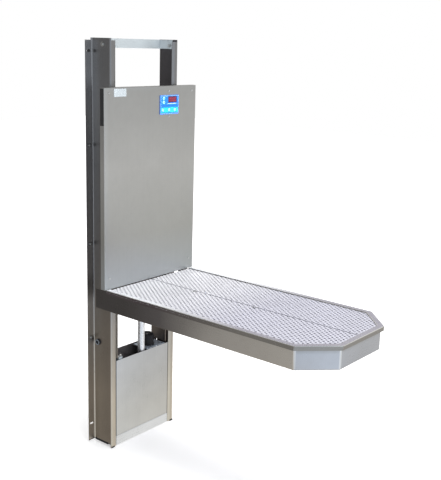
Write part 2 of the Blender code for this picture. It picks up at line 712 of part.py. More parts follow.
def grate_spine():
    front = -TRAY_FRONT + RIM_WIDE + TUB_LEDGE + SKIN_BEND
    box("grate_spine", (-SPINE_HALF, front, TUB_FLOOR + GAP),
        (SPINE_HALF, TUB_REAR - TUB_LEDGE - SKIN_BEND, LEDGE_Z), "stainless")


def grate(name, side):
    """One lift-out half of the top, a plate of the outer size of its expanded metal."""
    outline = tray_outline(RIM_WIDE + SKIN + 0.0005, TUB_REAR)
    half = [(x, y) for x, y in outline if x > 0]
    front, rear = half[0][1], half[-1][1]
    plan = [(GRATE_SPLIT, front)] + half + [(GRATE_SPLIT, rear)]
    prism(name, [(side * x, y) for x, y in plan], "Z", GRATE_TOP - GRATE_THICK, GRATE_TOP, "grate_steel")


def load_cells():
    """Weighing blocks on the frame's flange, under the tub's edges."""
    number = 1
    inner = TRAY_HALF - APRON_INSET - APRON_FLANGE + LOAD_CELL_SPACE
    for y in LOAD_CELL_ROWS:
        for side in (-1, 1):
            reach = sorted((side * inner, side * (inner + LOAD_CELL_WIDE)))
            box(f"load_cell_{number}", (reach[0], y - LOAD_CELL_LONG / 2, APRON_LOW + SHEET + GAP),
                (reach[1], y + LOAD_CELL_LONG / 2, TUB_FLOOR - SHEET - GAP), "cast_aluminium")
            number += 1


def build():
    upright("left_upright", -1)
    upright("right_upright", 1)
    top_crossbar()
    tie_bolt("crossbar_bolt_left", -1)
    tie_bolt("crossbar_bolt_right", 1)
    foot_trim("foot_trim_left", -1)
    foot_trim("foot_trim_right", 1)
    base_crossbar()
    motor_cover()
    housing_back_plate()
    gearbox()
    drive_motor()
    motor_shelf()
    actuator_tube()
    stop_post("stop_post_left", -1)
    stop_post("stop_post_right", 1)
    limit_switch()
    power_inlet()
    carriage_frame()
    cross_bars()
    actuator_rod()
    rod_end_bolt()
    lead_screw()
    for label, wheel in (("upper", UPPER_WHEEL), ("lower", LOWER_WHEEL)):
        wheel_and_axle(label + "_left", -1, wheel)
        wheel_and_axle(label + "_right", 1, wheel)
    back_panel()
    control_unit()
    tray_frame()
    tray_rim()
    tray_tub()
    tub_floor()
    drain_fitting()
    grate_spine()
    grate("left_grate", -1)
    grate("right_grate", 1)
    load_cells()


build()
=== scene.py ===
"""Looks of the wall-mounted lift table, built around its CAD frame (metres, +Z up, wall at y = 0)."""

import json
import math

import bmesh
import bpy
from mathutils import Matrix, Vector

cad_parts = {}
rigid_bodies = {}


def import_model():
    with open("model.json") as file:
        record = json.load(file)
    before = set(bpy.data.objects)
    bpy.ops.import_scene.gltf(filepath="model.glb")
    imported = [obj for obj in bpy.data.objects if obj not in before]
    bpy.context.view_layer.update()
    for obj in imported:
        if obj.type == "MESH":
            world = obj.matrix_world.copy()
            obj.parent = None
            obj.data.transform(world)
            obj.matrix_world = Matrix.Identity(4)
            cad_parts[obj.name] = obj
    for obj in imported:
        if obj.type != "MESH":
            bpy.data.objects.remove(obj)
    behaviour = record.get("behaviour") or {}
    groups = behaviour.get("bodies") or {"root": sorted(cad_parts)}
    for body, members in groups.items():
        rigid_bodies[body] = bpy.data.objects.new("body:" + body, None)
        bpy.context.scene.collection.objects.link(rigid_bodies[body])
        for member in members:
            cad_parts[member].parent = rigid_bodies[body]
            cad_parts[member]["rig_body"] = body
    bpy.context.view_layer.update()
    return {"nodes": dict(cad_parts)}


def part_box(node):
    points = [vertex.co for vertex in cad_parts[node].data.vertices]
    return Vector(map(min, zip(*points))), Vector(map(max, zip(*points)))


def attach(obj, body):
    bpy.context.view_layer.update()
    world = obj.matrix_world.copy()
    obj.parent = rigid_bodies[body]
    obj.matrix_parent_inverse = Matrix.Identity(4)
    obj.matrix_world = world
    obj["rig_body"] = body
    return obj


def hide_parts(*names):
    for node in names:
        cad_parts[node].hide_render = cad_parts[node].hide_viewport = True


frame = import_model()
NODES = frame["nodes"]

# ---------------------------------------------------------------- camera
CAMERA_PLACE = (-2.8434, -2.9217, 1.9788)
CAMERA_AZIMUTH = math.radians(50.8)     # from +Y towards +X
CAMERA_TILT = math.radians(13.3)        # below the horizon
CAMERA_ROLL = math.radians(1.6)
CAMERA_LENS = 68.2
SENSOR = 36.0

# ---------------------------------------------------------------- detail sizes
DIAMOND_WIDE = 0.0215       # expanded metal, across the table
DIAMOND_LONG = 0.031        # expanded metal, along the table
HOLE_SHARE = 0.38           # how much of a diamond is open
BLUNT = 0.20                # how far a diamond's tips are rounded off
STRAND_TILT = 0.0008        # how far the strands are turned out of the flat
STRAND_GAUGE = 0.0022
PROUD = 0.0002              # printed film above its backing
RIM_SKIRT = 0.020           # how far the rim is folded down
WING_WIDTH = 0.041          # wall flange of an upright, past its web
FLANGE_WIDTH = 0.022        # front flange of an upright
WELD_ENDS = (0.752, 1.594)  # heights of the carriage's weld beads at rest
KEY_BAND_TALL = 0.0225
KEY_SPACE = 0.0012          # round each key in its band
LINE_RISE = 0.0050          # fascia's pale line, above its middle
STRIPE_DROP = 0.0043        # fascia's dark stripe, below its middle
MOTOR_BELL = 0.016          # end bell standing above the motor can
EDGE_RELIEF = 0.0007        # share by which the panel is narrowed under its black edge strips
WING_SLOTS = (1.927, 1.499, 1.030, 0.560)   # wall slots that are in use, from the top
SCREW_LEAD = 0.010          # of the drive's lead screw
LABEL_RIGHT = 0.135         # from the panel's left edge to the label's right edge
LABEL_DOWN = 0.0065         # from the panel's top to the label's top
LABEL_WIDE = 0.076
LABEL_TALL = 0.035
WING_SLOT_INSET = 0.0190    # from the edge of the wall flange to the middle of a slot


def camera():
    data = bpy.data.cameras.new("photo_camera")
    data.sensor_fit = "HORIZONTAL"
    data.sensor_width = SENSOR
    data.lens = CAMERA_LENS
    obj = bpy.data.objects.new("photo_camera", data)
    bpy.context.scene.collection.objects.link(obj)
    ahead = Vector((math.sin(CAMERA_AZIMUTH) * math.cos(CAMERA_TILT),
                    math.cos(CAMERA_AZIMUTH) * math.cos(CAMERA_TILT), -math.sin(CAMERA_TILT)))
    level = Vector((math.cos(CAMERA_AZIMUTH), -math.sin(CAMERA_AZIMUTH), 0.0))
    upright = level.cross(ahead)
    across = level * math.cos(CAMERA_ROLL) + upright * math.sin(CAMERA_ROLL)
    upward = upright * math.cos(CAMERA_ROLL) - level * math.sin(CAMERA_ROLL)
    turn = Matrix((across, upward, -ahead)).transposed()
    obj.matrix_world = Matrix.Translation(CAMERA_PLACE) @ turn.to_4x4()
    bpy.context.scene.camera = obj


# ---------------------------------------------------------------- materials
class Shader:
    """A Principled material and short ways to add nodes to it."""

    def __init__(self, name, colour, roughness, metallic=1.0):
        self.material = bpy.data.materials.new(name)
        self.material.use_nodes = True
        self.tree = self.material.node_tree
        self.main = self.tree.nodes["Principled BSDF"]
        self.main.inputs["Base Color"].default_value = (*colour, 1.0)
        self.main.inputs["Roughness"].default_value = roughness
        self.main.inputs["Metallic"].default_value = metallic
        self.place = self.add("ShaderNodeTexCoord").outputs["Object"]

    def add(self, kind, **settings):
        node = self.tree.nodes.new(kind)
        for key, value in settings.items():
            setattr(node, key, value)
        return node

    def link(self, source, target):
        self.tree.links.new(source, target)

    def feed(self, socket, source):
        """Drive one input of the main shader."""
        self.link(source, self.main.inputs[socket])

    def fix(self, socket, value):
        """Give one input of the main shader a fixed value."""
        self.main.inputs[socket].default_value = value

    def noise(self, scale, stretch=(1.0, 1.0, 1.0), detail=3.0, rough=0.55):
        """Noise in object space; a small stretch value draws it out along that axis."""
        mapping = self.add("ShaderNodeMapping")
        mapping.inputs["Scale"].default_value = stretch
        texture = self.add("ShaderNodeTexNoise")
        texture.inputs["Scale"].default_value = scale
        texture.inputs["Detail"].default_value = detail
        texture.inputs["Roughness"].default_value = rough
        self.link(self.place, mapping.inputs["Vector"])
        self.link(mapping.outputs["Vector"], texture.inputs["Vector"])
        return texture.outputs["Fac"]

    def spread(self, value, low, high, source=(0.3, 0.7)):
        """Map a value's range onto another."""
        node = self.add("ShaderNodeMapRange")
        node.inputs["From Min"].default_value, node.inputs["From Max"].default_value = source
        node.inputs["To Min"].default_value = low
        node.inputs["To Max"].default_value = high
        self.link(value, node.inputs["Value"])
        return node.outputs["Result"]

    def maths(self, operation, first, second):
        node = self.add("ShaderNodeMath", operation=operation)
        for socket, value in zip(node.inputs, (first, second)):
            if isinstance(value, (int, float)):
                socket.default_value = value
            else:
                self.link(value, socket)
        return node.outputs[0]

    def mix(self, factor, first, second, blend="MIX"):
        node = self.add("ShaderNodeMix", data_type="RGBA", blend_type=blend)
        for socket, value in ((node.inputs["Factor"], factor), (node.inputs["A"], first),
                              (node.inputs["B"], second)):
            if isinstance(value, tuple):
                socket.default_value = (*value, 1.0)
            elif isinstance(value, (int, float)):
                socket.default_value = value
            else:
                self.link(value, socket)
        return node.outputs["Result"]

    def grey(self, value):
        node = self.add("ShaderNodeCombineColor")
        for socket in list(node.inputs)[:3]:
            self.link(value, socket)
        return node.outputs["Color"]

    def bump(self, height, distance, strength=1.0):
        node = self.add("ShaderNodeBump")
        node.inputs["Distance"].default_value = distance
        node.inputs["Strength"].default_value = strength
        self.link(height, node.inputs["Height"])
        self.link(node.outputs["Normal"], self.main.inputs["Normal"])


def brushed(name, colour, roughness, run="Z", grain=0.05, mottle=0.08, bump=0.00002, fade=None,
            metallic=1.0):
    """Brushed steel: a grain drawn out along one axis, handling marks, and polished patches.

    fade is an axis, the place where the tone starts to drift from colour, and then the place and
    colour of each tone that it reaches in turn.
    """
    shader = Shader(name, colour, roughness, metallic)
    stretch = [1.0, 1.0, 1.0]
    stretch["XYZ".index(run)] = 0.012
    fine = shader.noise(1100.0, stretch, detail=4.0, rough=0.7)
    streak = shader.noise(120.0, stretch, detail=3.0)
    cloud = shader.noise(4.5, detail=4.0)
    marks = shader.noise(38.0, detail=6.0, rough=0.62)
    tone = shader.maths("MULTIPLY", shader.spread(fine, 1.0 - grain, 1.0 + grain),
                        shader.spread(streak, 1.0 - grain * 0.4, 1.0 + grain * 0.4))
    tone = shader.maths("MULTIPLY", tone, shader.spread(cloud, 1.0 - mottle, 1.0 + mottle * 0.6))
    base = colour
    # The fades paint light, shade and reflections onto the steel by position.
    if fade:
        axis, start, *stops = fade
        along = shader.add("ShaderNodeSeparateXYZ")
        shader.link(shader.place, along.inputs[0])
        for end, tone_there in stops:
            share = shader.spread(along.outputs[axis], 0.0, 1.0, (start, end))
            base = shader.mix(share, base, tone_there)
            start = end
    shader.feed("Base Color", shader.mix(1.0, base, shader.grey(tone), "MULTIPLY"))
    rough = shader.maths("ADD", shader.spread(fine, roughness - 0.06, roughness + 0.08),
                         shader.spread(marks, -0.03, 0.09, (0.45, 0.75)))
    rough = shader.maths("ADD", rough, shader.spread(cloud, -0.04, 0.05))
    shader.feed("Roughness", rough)
    shader.bump(shader.maths("ADD", fine, shader.maths("MULTIPLY", streak, 1.5)), bump)
    return shader.material


def machined(name, colour, roughness, metallic=1.0):
    """Turned, plated or ground steel with faint rings and a little oil."""
    shader = Shader(name, colour, roughness, metallic)
    rings = shader.noise(700.0, detail=2.0)
    oil = shader.noise(30.0, detail=5.0)
    tone = shader.maths("MULTIPLY", shader.spread(rings, 0.92, 1.06), shader.spread(oil, 0.84, 1.05))
    shader.feed("Base Color", shader.mix(1.0, colour, shader.grey(tone), "MULTIPLY"))
    rough = shader.maths("ADD", shader.spread(rings, roughness - 0.04, roughness + 0.05),
                         shader.spread(oil, -0.05, 0.10))
    shader.feed("Roughness", rough)
    shader.bump(rings, 0.00002)
    return shader.material


def cast(name, colour, roughness):
    """Sand-cast metal with a pebbled skin."""
    shader = Shader(name, colour, roughness)
    pebble = shader.noise(420.0, detail=5.0)
    stain = shader.noise(14.0, detail=5.0)
    tone = shader.maths("MULTIPLY", shader.spread(pebble, 0.85, 1.08), shader.spread(stain, 0.80, 1.05))
    shader.feed("Base Color", shader.mix(1.0, colour, shader.grey(tone), "MULTIPLY"))
    shader.feed("Roughness", shader.spread(stain, roughness, roughness + 0.18))
    shader.bump(pebble, 0.0003, 0.7)
    return shader.material


def painted(name, colour, roughness):
    """Stoved paint with orange peel, patches of dust and small scuffs."""
    shader = Shader(name, colour, roughness, 0.0)
    peel = shader.noise(260.0, detail=2.0)
    dust = shader.noise(18.0, detail=6.0)
    scuff = shader.noise(95.0, (1.0, 1.0, 0.15), detail=6.0)
    pale = tuple(min(1.0, part * 1.2 + 0.012) for part in colour)
    shader.fix("Specular IOR Level", 0.25)
    worn = shader.mix(shader.spread(dust, 0.0, 0.6, (0.42, 0.72)), colour, pale)
    worn = shader.mix(shader.spread(scuff, 0.0, 0.7, (0.66, 0.74)), worn, pale)
    shader.feed("Base Color", worn)
    shader.feed("Roughness", shader.spread(dust, roughness - 0.05, roughness + 0.15))
    shader.bump(peel, 0.0001, 0.5)
    return shader.material


def moulded(name, colour, roughness, coat=0.0):
    """Moulded plastic, rubber or printed film with a fine grain."""
    shader = Shader(name, colour, roughness, 0.0)
    shader.fix("Coat Weight", coat)
    shader.fix("Coat Roughness", 0.12)
    speck = shader.noise(520.0, detail=3.0)
    wipe = shader.noise(22.0, (1.0, 1.0, 0.4), detail=5.0)
    tone = shader.maths("MULTIPLY", shader.spread(speck, 0.93, 1.05), shader.spread(wipe, 0.90, 1.05))
    shader.feed("Base Color", shader.mix(1.0, colour, shader.grey(tone), "MULTIPLY"))
    shader.feed("Roughness", shader.spread(wipe, roughness - 0.05, roughness + 0.12))
    shader.bump(speck, 0.00006, 0.6)
    return shader.material


def lit(name, colour, strength):
    """A lit segment behind film, with a slightly uneven glow."""
    shader = Shader(name, colour, 0.4, 0.0)
    glow = shader.noise(380.0, detail=2.0)
    tone = shader.grey(shader.spread(glow, 0.85, 1.05))
    shader.feed("Base Color", shader.mix(1.0, colour, tone, "MULTIPLY"))
    shader.fix("Emission Color", (*colour, 1.0))
    shader.fix("Emission Strength", strength)
    return shader.material


# Upright steel, lighter and warmer below 0.80 m: painted reflection of a warm floor.
MAST_STEEL = brushed("mast_steel", (0.33, 0.33, 0.335), 0.34,
                     fade=("Z", 0.80, (0.25, (0.70, 0.63, 0.515))))
# Web steel, darker below 1.75 m (painted shade), then warmer and lighter towards the foot: painted reflection
# of a warm floor.
WEB_STEEL = brushed("web_steel", (0.33, 0.33, 0.335), 0.34,
                    fade=("Z", 1.75, (1.40, (0.25, 0.245, 0.245)), (0.95, (0.24, 0.22, 0.205)),
                          (0.30, (0.42, 0.365, 0.30))))
# Wall flange fronts: a lighter copy of the upright steel (painted light), warmer below 0.90 m as a painted
# reflection of a warm floor.
WING_STEEL = brushed("wing_steel", (0.58, 0.57, 0.56), 0.36,
                     fade=("Z", 0.90, (0.30, (0.48, 0.43, 0.37))))
# Inner faces of the upright channels: a darkened copy of the steel, painted shade, a little lighter below
# 1.10 m as a painted reflection.
INNER_SHADE_STEEL = brushed("inner_face_shade_steel", (0.085, 0.080, 0.085), 0.42, mottle=0.14, metallic=0.7,
                      fade=("Z", 1.10, (0.60, (0.14, 0.12, 0.11))))
BAR_STEEL = brushed("crossbar_steel", (0.56, 0.61, 0.635), 0.40, "X", metallic=0.6)
BASE_STEEL = brushed("base_steel", (0.95, 0.96, 0.96), 0.30, "X")
SHELF_STEEL = brushed("shelf_steel", (0.46, 0.53, 0.60), 0.34, "X", metallic=0.4)
HOUSING_STEEL = brushed("housing_steel", (0.30, 0.28, 0.28), 0.45, metallic=0.4)
# Motor cover, lighter and warmer below 0.45 m: painted reflection of a warm floor.
COVER_STEEL = brushed("cover_steel", (0.66, 0.67, 0.68), 0.36, grain=0.03, mottle=0.10,
                      fade=("Z", 0.45, (0.15, (0.74, 0.73, 0.69))))
# Back panel, its tone shifting with height: painted light and reflection, lightest near 1.40 m and bluish at
# the foot.
PANEL_STEEL = brushed("panel_steel", (0.545, 0.545, 0.53), 0.38, grain=0.025, mottle=0.05,
                      fade=("Z", 1.75, (1.40, (0.635, 0.63, 0.605)), (1.08, (0.545, 0.545, 0.515)),
                            (0.90, (0.54, 0.565, 0.57))))
# Tray apron, bright at the front and darkening towards the wall: painted reflection and painted shade.
APRON_STEEL = brushed("apron_steel", (0.81, 0.78, 0.725), 0.30, "Y", grain=0.03, bump=0.00001,
                      fade=("Y", -1.20, (-0.80, (0.68, 0.655, 0.615)), (-0.50, (0.22, 0.205, 0.205)),
                            (-0.28, (0.145, 0.136, 0.132))))
# Tray front and chamfers, darker just under the rim (painted shadow of the rim's lip), bluer lower down.
END_STEEL = brushed("end_steel", (0.40, 0.40, 0.385), 0.32, "X", grain=0.02, mottle=0.07,
                    bump=0.000006, fade=("Z", 0.836, (0.808, (0.60, 0.62, 0.66))))
# Bends between the tray's faces: a painted highlight.
FOLD_STEEL = brushed("fold_steel", (0.80, 0.81, 0.82), 0.30, grain=0.02, mottle=0.04, bump=0.000003)
# Rim top, dark at the front and near white towards the wall: painted reflection.
RIM_STEEL = brushed("rim_steel", (0.31, 0.30, 0.345), 0.28, "Y", grain=0.01, mottle=0.04,
                    bump=0.000003, metallic=0.5, fade=("Y", -0.95, (-0.45, (0.93, 0.94, 0.98))))
# Rim's folded-down skirt, darker towards the wall: painted shade.
SKIRT_STEEL = brushed("skirt_steel", (0.38, 0.365, 0.34), 0.30, "Y", grain=0.01, mottle=0.04,
                      bump=0.000003, fade=("Y", -0.95, (-0.45, (0.17, 0.145, 0.15))))
# Near-white steel for the rim's fold and bead: a painted highlight.
EDGE_STEEL = brushed("edge_steel", (0.92, 0.92, 0.90), 0.22, "Y")
SEAM_STEEL = brushed("seam_steel", (0.30, 0.31, 0.36), 0.40, "Y")
TUB_STEEL = brushed("tub_steel", (0.74, 0.72, 0.80), 0.40, "Y", mottle=0.12, metallic=0.3)
# Grate, darker at the front and lighter towards the wall: painted light.
GRATE_STEEL = brushed("grate_steel", (0.52, 0.52, 0.59), 0.40, "Y", grain=0.04, mottle=0.05,
                      metallic=0.35, fade=("Y", -0.85, (-0.55, (0.66, 0.66, 0.70)),
                                           (-0.25, (0.79, 0.79, 0.82))))
CARRIAGE_STEEL = brushed("carriage_steel", (0.24, 0.21, 0.185), 0.45, mottle=0.18)
# Carriage's outer side faces: a lit copy of the carriage steel, painted light.
CARRIAGE_EDGE = brushed("carriage_edge", (0.50, 0.47, 0.40), 0.45, metallic=0.4)
ZINC = machined("zinc_plate", (0.62, 0.62, 0.60), 0.36)
BRIGHT_ZINC = machined("bright_zinc", (0.90, 0.90, 0.88), 0.34)
CHROME = machined("ground_chrome", (0.90, 0.91, 0.92), 0.24, metallic=0.75)
RING_STEEL = machined("inlet_ring_steel", (0.36, 0.41, 0.46), 0.34, metallic=0.8)
SCREW_STEEL = machined("lead_screw_steel", (0.42, 0.41, 0.39), 0.34)
CAST_ALLOY = cast("cast_alloy", (0.52, 0.53, 0.55), 0.42)
MOTOR_BLACK = painted("motor_black", (0.007, 0.007, 0.009), 0.50)
BOX_BLACK = painted("box_black", (0.03, 0.03, 0.035), 0.5)
NYLON = moulded("nylon", (0.78, 0.76, 0.70), 0.45)
RUBBER = moulded("rubber", (0.016, 0.016, 0.017), 0.75)
INLET_BLACK = moulded("inlet_black", (0.02, 0.02, 0.024), 0.45)
CONTROL_BLUE = moulded("control_blue", (0.004, 0.20, 0.80), 0.30, coat=0.3)
KEY_CYAN = moulded("key_cyan", (0.42, 0.90, 1.0), 0.32, coat=0.4)
BAND_CYAN = moulded("band_cyan", (0.015, 0.62, 0.95), 0.32, coat=0.4)
PRINT_PALE = moulded("print_pale", (0.62, 0.86, 0.98), 0.4)
PRINT_DEEP = moulded("print_deep", (0.006, 0.10, 0.42), 0.4)
DISPLAY_RED = moulded("display_red", (0.10, 0.010, 0.035), 0.12, coat=0.3)
DIGIT_RED = lit("digit_red", (0.42, 0.03, 0.06), 0.25)
LABEL_WHITE = moulded("label_white", (0.40, 0.44, 0.465), 0.42)


# ---------------------------------------------------------------- mesh helpers
def made(name, bm, material, body, smooth=32.0):
    """Turn a bmesh into a finished piece that rides on a body."""
    bmesh.ops.recalc_face_normals(bm, faces=bm.faces)
    mesh = bpy.data.meshes.new(name)
    bm.to_mesh(mesh)
    bm.free()
    mesh.materials.append(material)
    mesh.shade_smooth()
    mesh.set_sharp_from_angle(angle=math.radians(smooth))
    obj = bpy.data.objects.new(name, mesh)
    bpy.context.scene.collection.objects.link(obj)
    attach(obj, body)
    return obj


def settle(obj, smooth=None):
    """Apply an object's modifiers, and shade it again when an angle is given."""
    bpy.context.view_layer.update()
    graph = bpy.context.evaluated_depsgraph_get()
    mesh = bpy.data.meshes.new_from_object(obj.evaluated_get(graph))
    obj.modifiers.clear()
    obj.data = mesh
    if smooth:
        mesh.shade_smooth()
        mesh.set_sharp_from_angle(angle=math.radians(smooth))


def eased(name, bm, material, body, width, segments=2, angle=30.0):
    """A piece whose hard edges are rounded."""
    obj = made(name, bm, material, body)
    soften = obj.modifiers.new("ease", "BEVEL")
    soften.width = width
    soften.segments = segments
    soften.limit_method = "ANGLE"
    soften.angle_limit = math.radians(angle)
    soften.harden_normals = True
    settle(obj)
    return obj


def node_mesh(node):
    """A CAD node's shape with its flat faces made whole."""
    bm = bmesh.new()
    bm.from_mesh(NODES[node].data)
    bmesh.ops.remove_doubles(bm, verts=bm.verts, dist=0.00001)
    bmesh.ops.dissolve_limit(bm, angle_limit=math.radians(0.4), verts=bm.verts, edges=bm.edges)
    return bm


def finished(node, material, width, segments=2):
    """The CAD node with eased edges and a real surface, in place of the plain one."""
    body = NODES[node]["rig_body"]
    bm = node_mesh(node)
    if width:
        obj = eased(node + "_finished", bm, material, body, width, segments)
    else:
        obj = made(node + "_finished", bm, material, body)
    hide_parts(node)
    return obj


def recolour(obj, material, chosen):
    """Give another surface to the faces that pass a test."""
    obj.data.materials.append(material)
    slot = len(obj.data.materials) - 1
    for face in obj.data.polygons:
        if chosen(face):
            face.material_index = slot


def add_box(bm, low, high):
    low, high = Vector(low), Vector(high)
    grown = bmesh.ops.create_cube(bm, size=1.0)["verts"]
    bmesh.ops.scale(bm, vec=high - low, verts=grown)
    bmesh.ops.translate(bm, vec=(low + high) / 2, verts=grown)


def add_ring(bm, profile, centre, axis, steps=32, start=0.0):
    """Turn a profile of (radius, height) about an axis; a radius of 0 closes the shape."""
    turn = Vector(axis).to_track_quat("Z", "Y")
    rows = []
    for radius, height in profile:
        if radius < 1e-7:
            rows.append([bm.verts.new(turn @ Vector((0, 0, height)) + Vector(centre))])
            continue
        row = []
        for step in range(steps):
            angle = start + 2 * math.pi * step / steps
            point = Vector((radius * math.cos(angle), radius * math.sin(angle), height))
            row.append(bm.verts.new(turn @ point + Vector(centre)))
        rows.append(row)
    for first, second in zip(rows, rows[1:]):
        for step in range(steps):
            there = (step + 1) % steps
            corners = [first[step % len(first)], first[there % len(first)],
                       second[there % len(second)], second[step % len(second)]]
            distinct = list(dict.fromkeys(corners))
            if len(distinct) > 2:
                bm.faces.new(distinct)


def middle(node):
    low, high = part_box(node)
    return (low + high) / 2


# ---------------------------------------------------------------- expanded metal
def tray_planes(node):
    """The outline of a grate as planes (point, outward normal), from its CAD solid."""
    planes = []
    for face in NODES[node].data.polygons:
        normal = face.normal
        if abs(normal.z) > 0.5:
            continue
        point = NODES[node].data.vertices[face.vertices[0]].co
        if all(normal.dot(other) < 0.999 for _, other in planes):
            planes.append((point.copy(), normal.copy()))
    return planes


def expanded_metal(node):
    """A sheet of slit and stretched steel: tilted strands round diamond holes, cut to the outline."""
    low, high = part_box(node)
    bm = bmesh.new()
    half_x, half_y = DIAMOND_WIDE / 2, DIAMOND_LONG / 2
    reach_x, reach_y = half_x * HOLE_SHARE, half_y * HOLE_SHARE
    corners = {}
    mid_z = (low.z + high.z) / 2

    def corner(column, row):
        key = (column, row)
        if key not in corners:
            corners[key] = bm.verts.new((low.x + column * half_x, low.y + row * half_y, mid_z))
        return corners[key]

    columns = int((high.x - low.x) / half_x) + 3
    rows = int((high.y - low.y) / half_y) + 3
    for column in range(-1, columns):
        for row in range(-1, rows):
            if (column + row) % 2:
                continue
            centre = Vector((low.x + column * half_x, low.y + row * half_y, mid_z))
            outer = [corner(column + 1, row), corner(column, row + 1),
                     corner(column - 1, row), corner(column, row - 1)]
            inner = []
            for turn_x, turn_y in ((1, 0), (0, 1), (-1, 0), (0, -1)):
                tip = Vector((turn_x * reach_x, turn_y * reach_y, turn_x * STRAND_TILT))
                side = Vector((-turn_y * reach_x * BLUNT, turn_x * reach_y * BLUNT, 0.0))
                inner.append([bm.verts.new(centre + tip - side), bm.verts.new(centre + tip + side)])
            for index in range(4):
                following = (index + 1) % 4
                bm.faces.new((outer[index], outer[following], inner[following][0], inner[index][1]))
                bm.faces.new((outer[index], inner[index][1], inner[index][0]))
    for point, normal in tray_planes(node):
        everything = list(bm.verts) + list(bm.edges) + list(bm.faces)
        bmesh.ops.bisect_plane(bm, geom=everything, plane_co=point, plane_no=normal, clear_outer=True)
    obj = made(node + "_mesh", bm, GRATE_STEEL, NODES[node]["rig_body"], smooth=20.0)
    thick = obj.modifiers.new("gauge", "SOLIDIFY")
    thick.thickness = STRAND_GAUGE
    thick.offset = 0.0
    settle(obj, 20.0)
    clamp_height(obj, low.z + 0.00005, high.z)
    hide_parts(node)


def clamp_height(obj, low, high):
    for vertex in obj.data.vertices:
        vertex.co.z = min(high, max(low, vertex.co.z))


def seam_bar():
    """A flat bar welded under the left grate's inner edge; it shows as a line down the middle."""
    low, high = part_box("left_grate")
    bm = bmesh.new()
    add_box(bm, (high.x - 0.0035, low.y + 0.004, low.z + 0.0003),
            (high.x - 0.0002, high.y - 0.003, high.z))
    eased("grate_seam", bm, SEAM_STEEL, "left_grate_body", 0.0003)


def lift_rings():
    """Two wire rings at the seam, to lift the left grate by."""
    low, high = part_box("left_grate")
    for index, along in enumerate((0.252, 0.553), start=1):
        y = high.y - along * (high.y - low.y)
        bm = bmesh.new()
        wire, radius = 0.0012, 0.0085
        profile = [(radius + wire * math.cos(turn), wire * math.sin(turn))
                   for turn in (2 * math.pi * step / 10 for step in range(11))]
        add_ring(bm, profile, (high.x - 0.0105, y, high.z + wire * 0.6), (0, 0, 1))
        bmesh.ops.remove_doubles(bm, verts=bm.verts, dist=0.00001)
        made(f"lift_ring_{index}", bm, ZINC, "left_grate_body", smooth=60.0)


# ---------------------------------------------------------------- rim
def outline(node, level):
    """The outer corners of a node's upper face, counter-clockwise from above."""
    upper = [vertex.co for vertex in NODES[node].data.vertices if vertex.co.z > level]
    points = sorted({(round(point.x, 4), round(point.y, 4)) for point in upper})

    def half(ordered):
        chain = []
        for point in ordered:
            while len(chain) > 1:
                (ax, ay), (bx, by) = chain[-2:]
                if (bx - ax) * (point[1] - ay) - (by - ay) * (point[0] - ax) > 1e-9:
                    break
                chain.pop()
            chain.append(point)
        return chain[:-1]

    return half(points) + half(points[::-1])


def offset_corner(before, corner, after, inward):
    """A corner of an outline moved in by the same distance from both its sides."""
    first = (corner - before).normalized()
    second = (after - corner).normalized()
    left_one = Vector((-first.y, first.x))
    left_two = Vector((-second.y, second.x))
    across = (left_one + left_two).normalized()
    return corner + across * inward / max(0.2, across.dot(left_one))


def rim_strip(name, material, section):
    """A strip that follows the rim's front and sides; section is a list of (inward, height)."""
    corners = [Vector(point) for point in outline("tray_rim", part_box("tray_rim")[1].z - 0.004)]
    rear = max(corner.y for corner in corners)
    corners = [corner for index, corner in enumerate(corners)
               if (corner - corners[index - 1]).length > 0.004]
    start = next(index for index, corner in enumerate(corners)
                 if corner.y > rear - 0.01 and corners[(index + 1) % len(corners)].y < rear - 0.01)
    path = corners[start:] + corners[:start]
    bm = bmesh.new()
    rows = []
    for index, corner in enumerate(path):
        before = path[index - 1] if index else corner + (corner - path[1])
        after = path[index + 1] if index + 1 < len(path) else corner + (corner - path[index - 1])
        row = []
        for inward, height in section:
            spot = offset_corner(before, corner, after, inward)
            row.append(bm.verts.new((spot.x, spot.y, height)))
        rows.append(row)
    count = len(section)
    for first, second in zip(rows, rows[1:]):
        for here in range(count):
            there = (here + 1) % count
            bm.faces.new((first[here], first[there], second[there], second[here]))
    bm.faces.new(rows[0])
    bm.faces.new(rows[-1])
    eased(name, bm, material, "carriage", 0.0003, angle=60.0)


def rim_folds():
    """The rim's edge is folded down into a short skirt, with a painted highlight along the fold."""
    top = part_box("tray_rim")[1].z
    near, far = PROUD, 0.0016
    skirt = [(near, top - 0.0030), (near, top - RIM_SKIRT), (far, top - RIM_SKIRT), (far, top - 0.0030)]
    rim_strip("rim_skirt", SKIRT_STEEL, skirt)
    far = 0.0026
    bead = [(near, top - 0.0028), (near, top - 0.0008), (0.0008, top - 0.0002), (far, top),
            (far, top - 0.0028)]
    rim_strip("rim_bead", EDGE_STEEL, bead)


# ---------------------------------------------------------------- fasteners
def hex_bolt(name, place, axis, body, size, thick=0.0058):
    """Washer and chamfered hex head, standing out along the axis."""
    bm = bmesh.new()
    washer = [(0.0, 0.0), (size * 1.28, 0.0), (size * 1.28, 0.0012), (0.0, 0.0012)]
    add_ring(bm, washer, place, axis, 32)
    head = [(0.0, 0.0012), (size, 0.0012), (size, thick - 0.001), (size * 0.86, thick), (0.0, thick)]
    add_ring(bm, head, place, axis, 6, math.pi / 6)
    return eased(name, bm, ZINC, body, 0.0003)


def cap_screw(bm, place, axis, radius, tall):
    """Round head with a hexagon socket."""
    socket = radius * 0.5
    add_ring(bm, [(socket, tall * 0.35), (socket, tall), (radius * 0.9, tall), (radius, tall * 0.8),
                  (radius, 0.0)], place, axis, 24)
    add_ring(bm, [(0.0, tall * 0.35), (socket, tall * 0.35)], place, axis, 24)


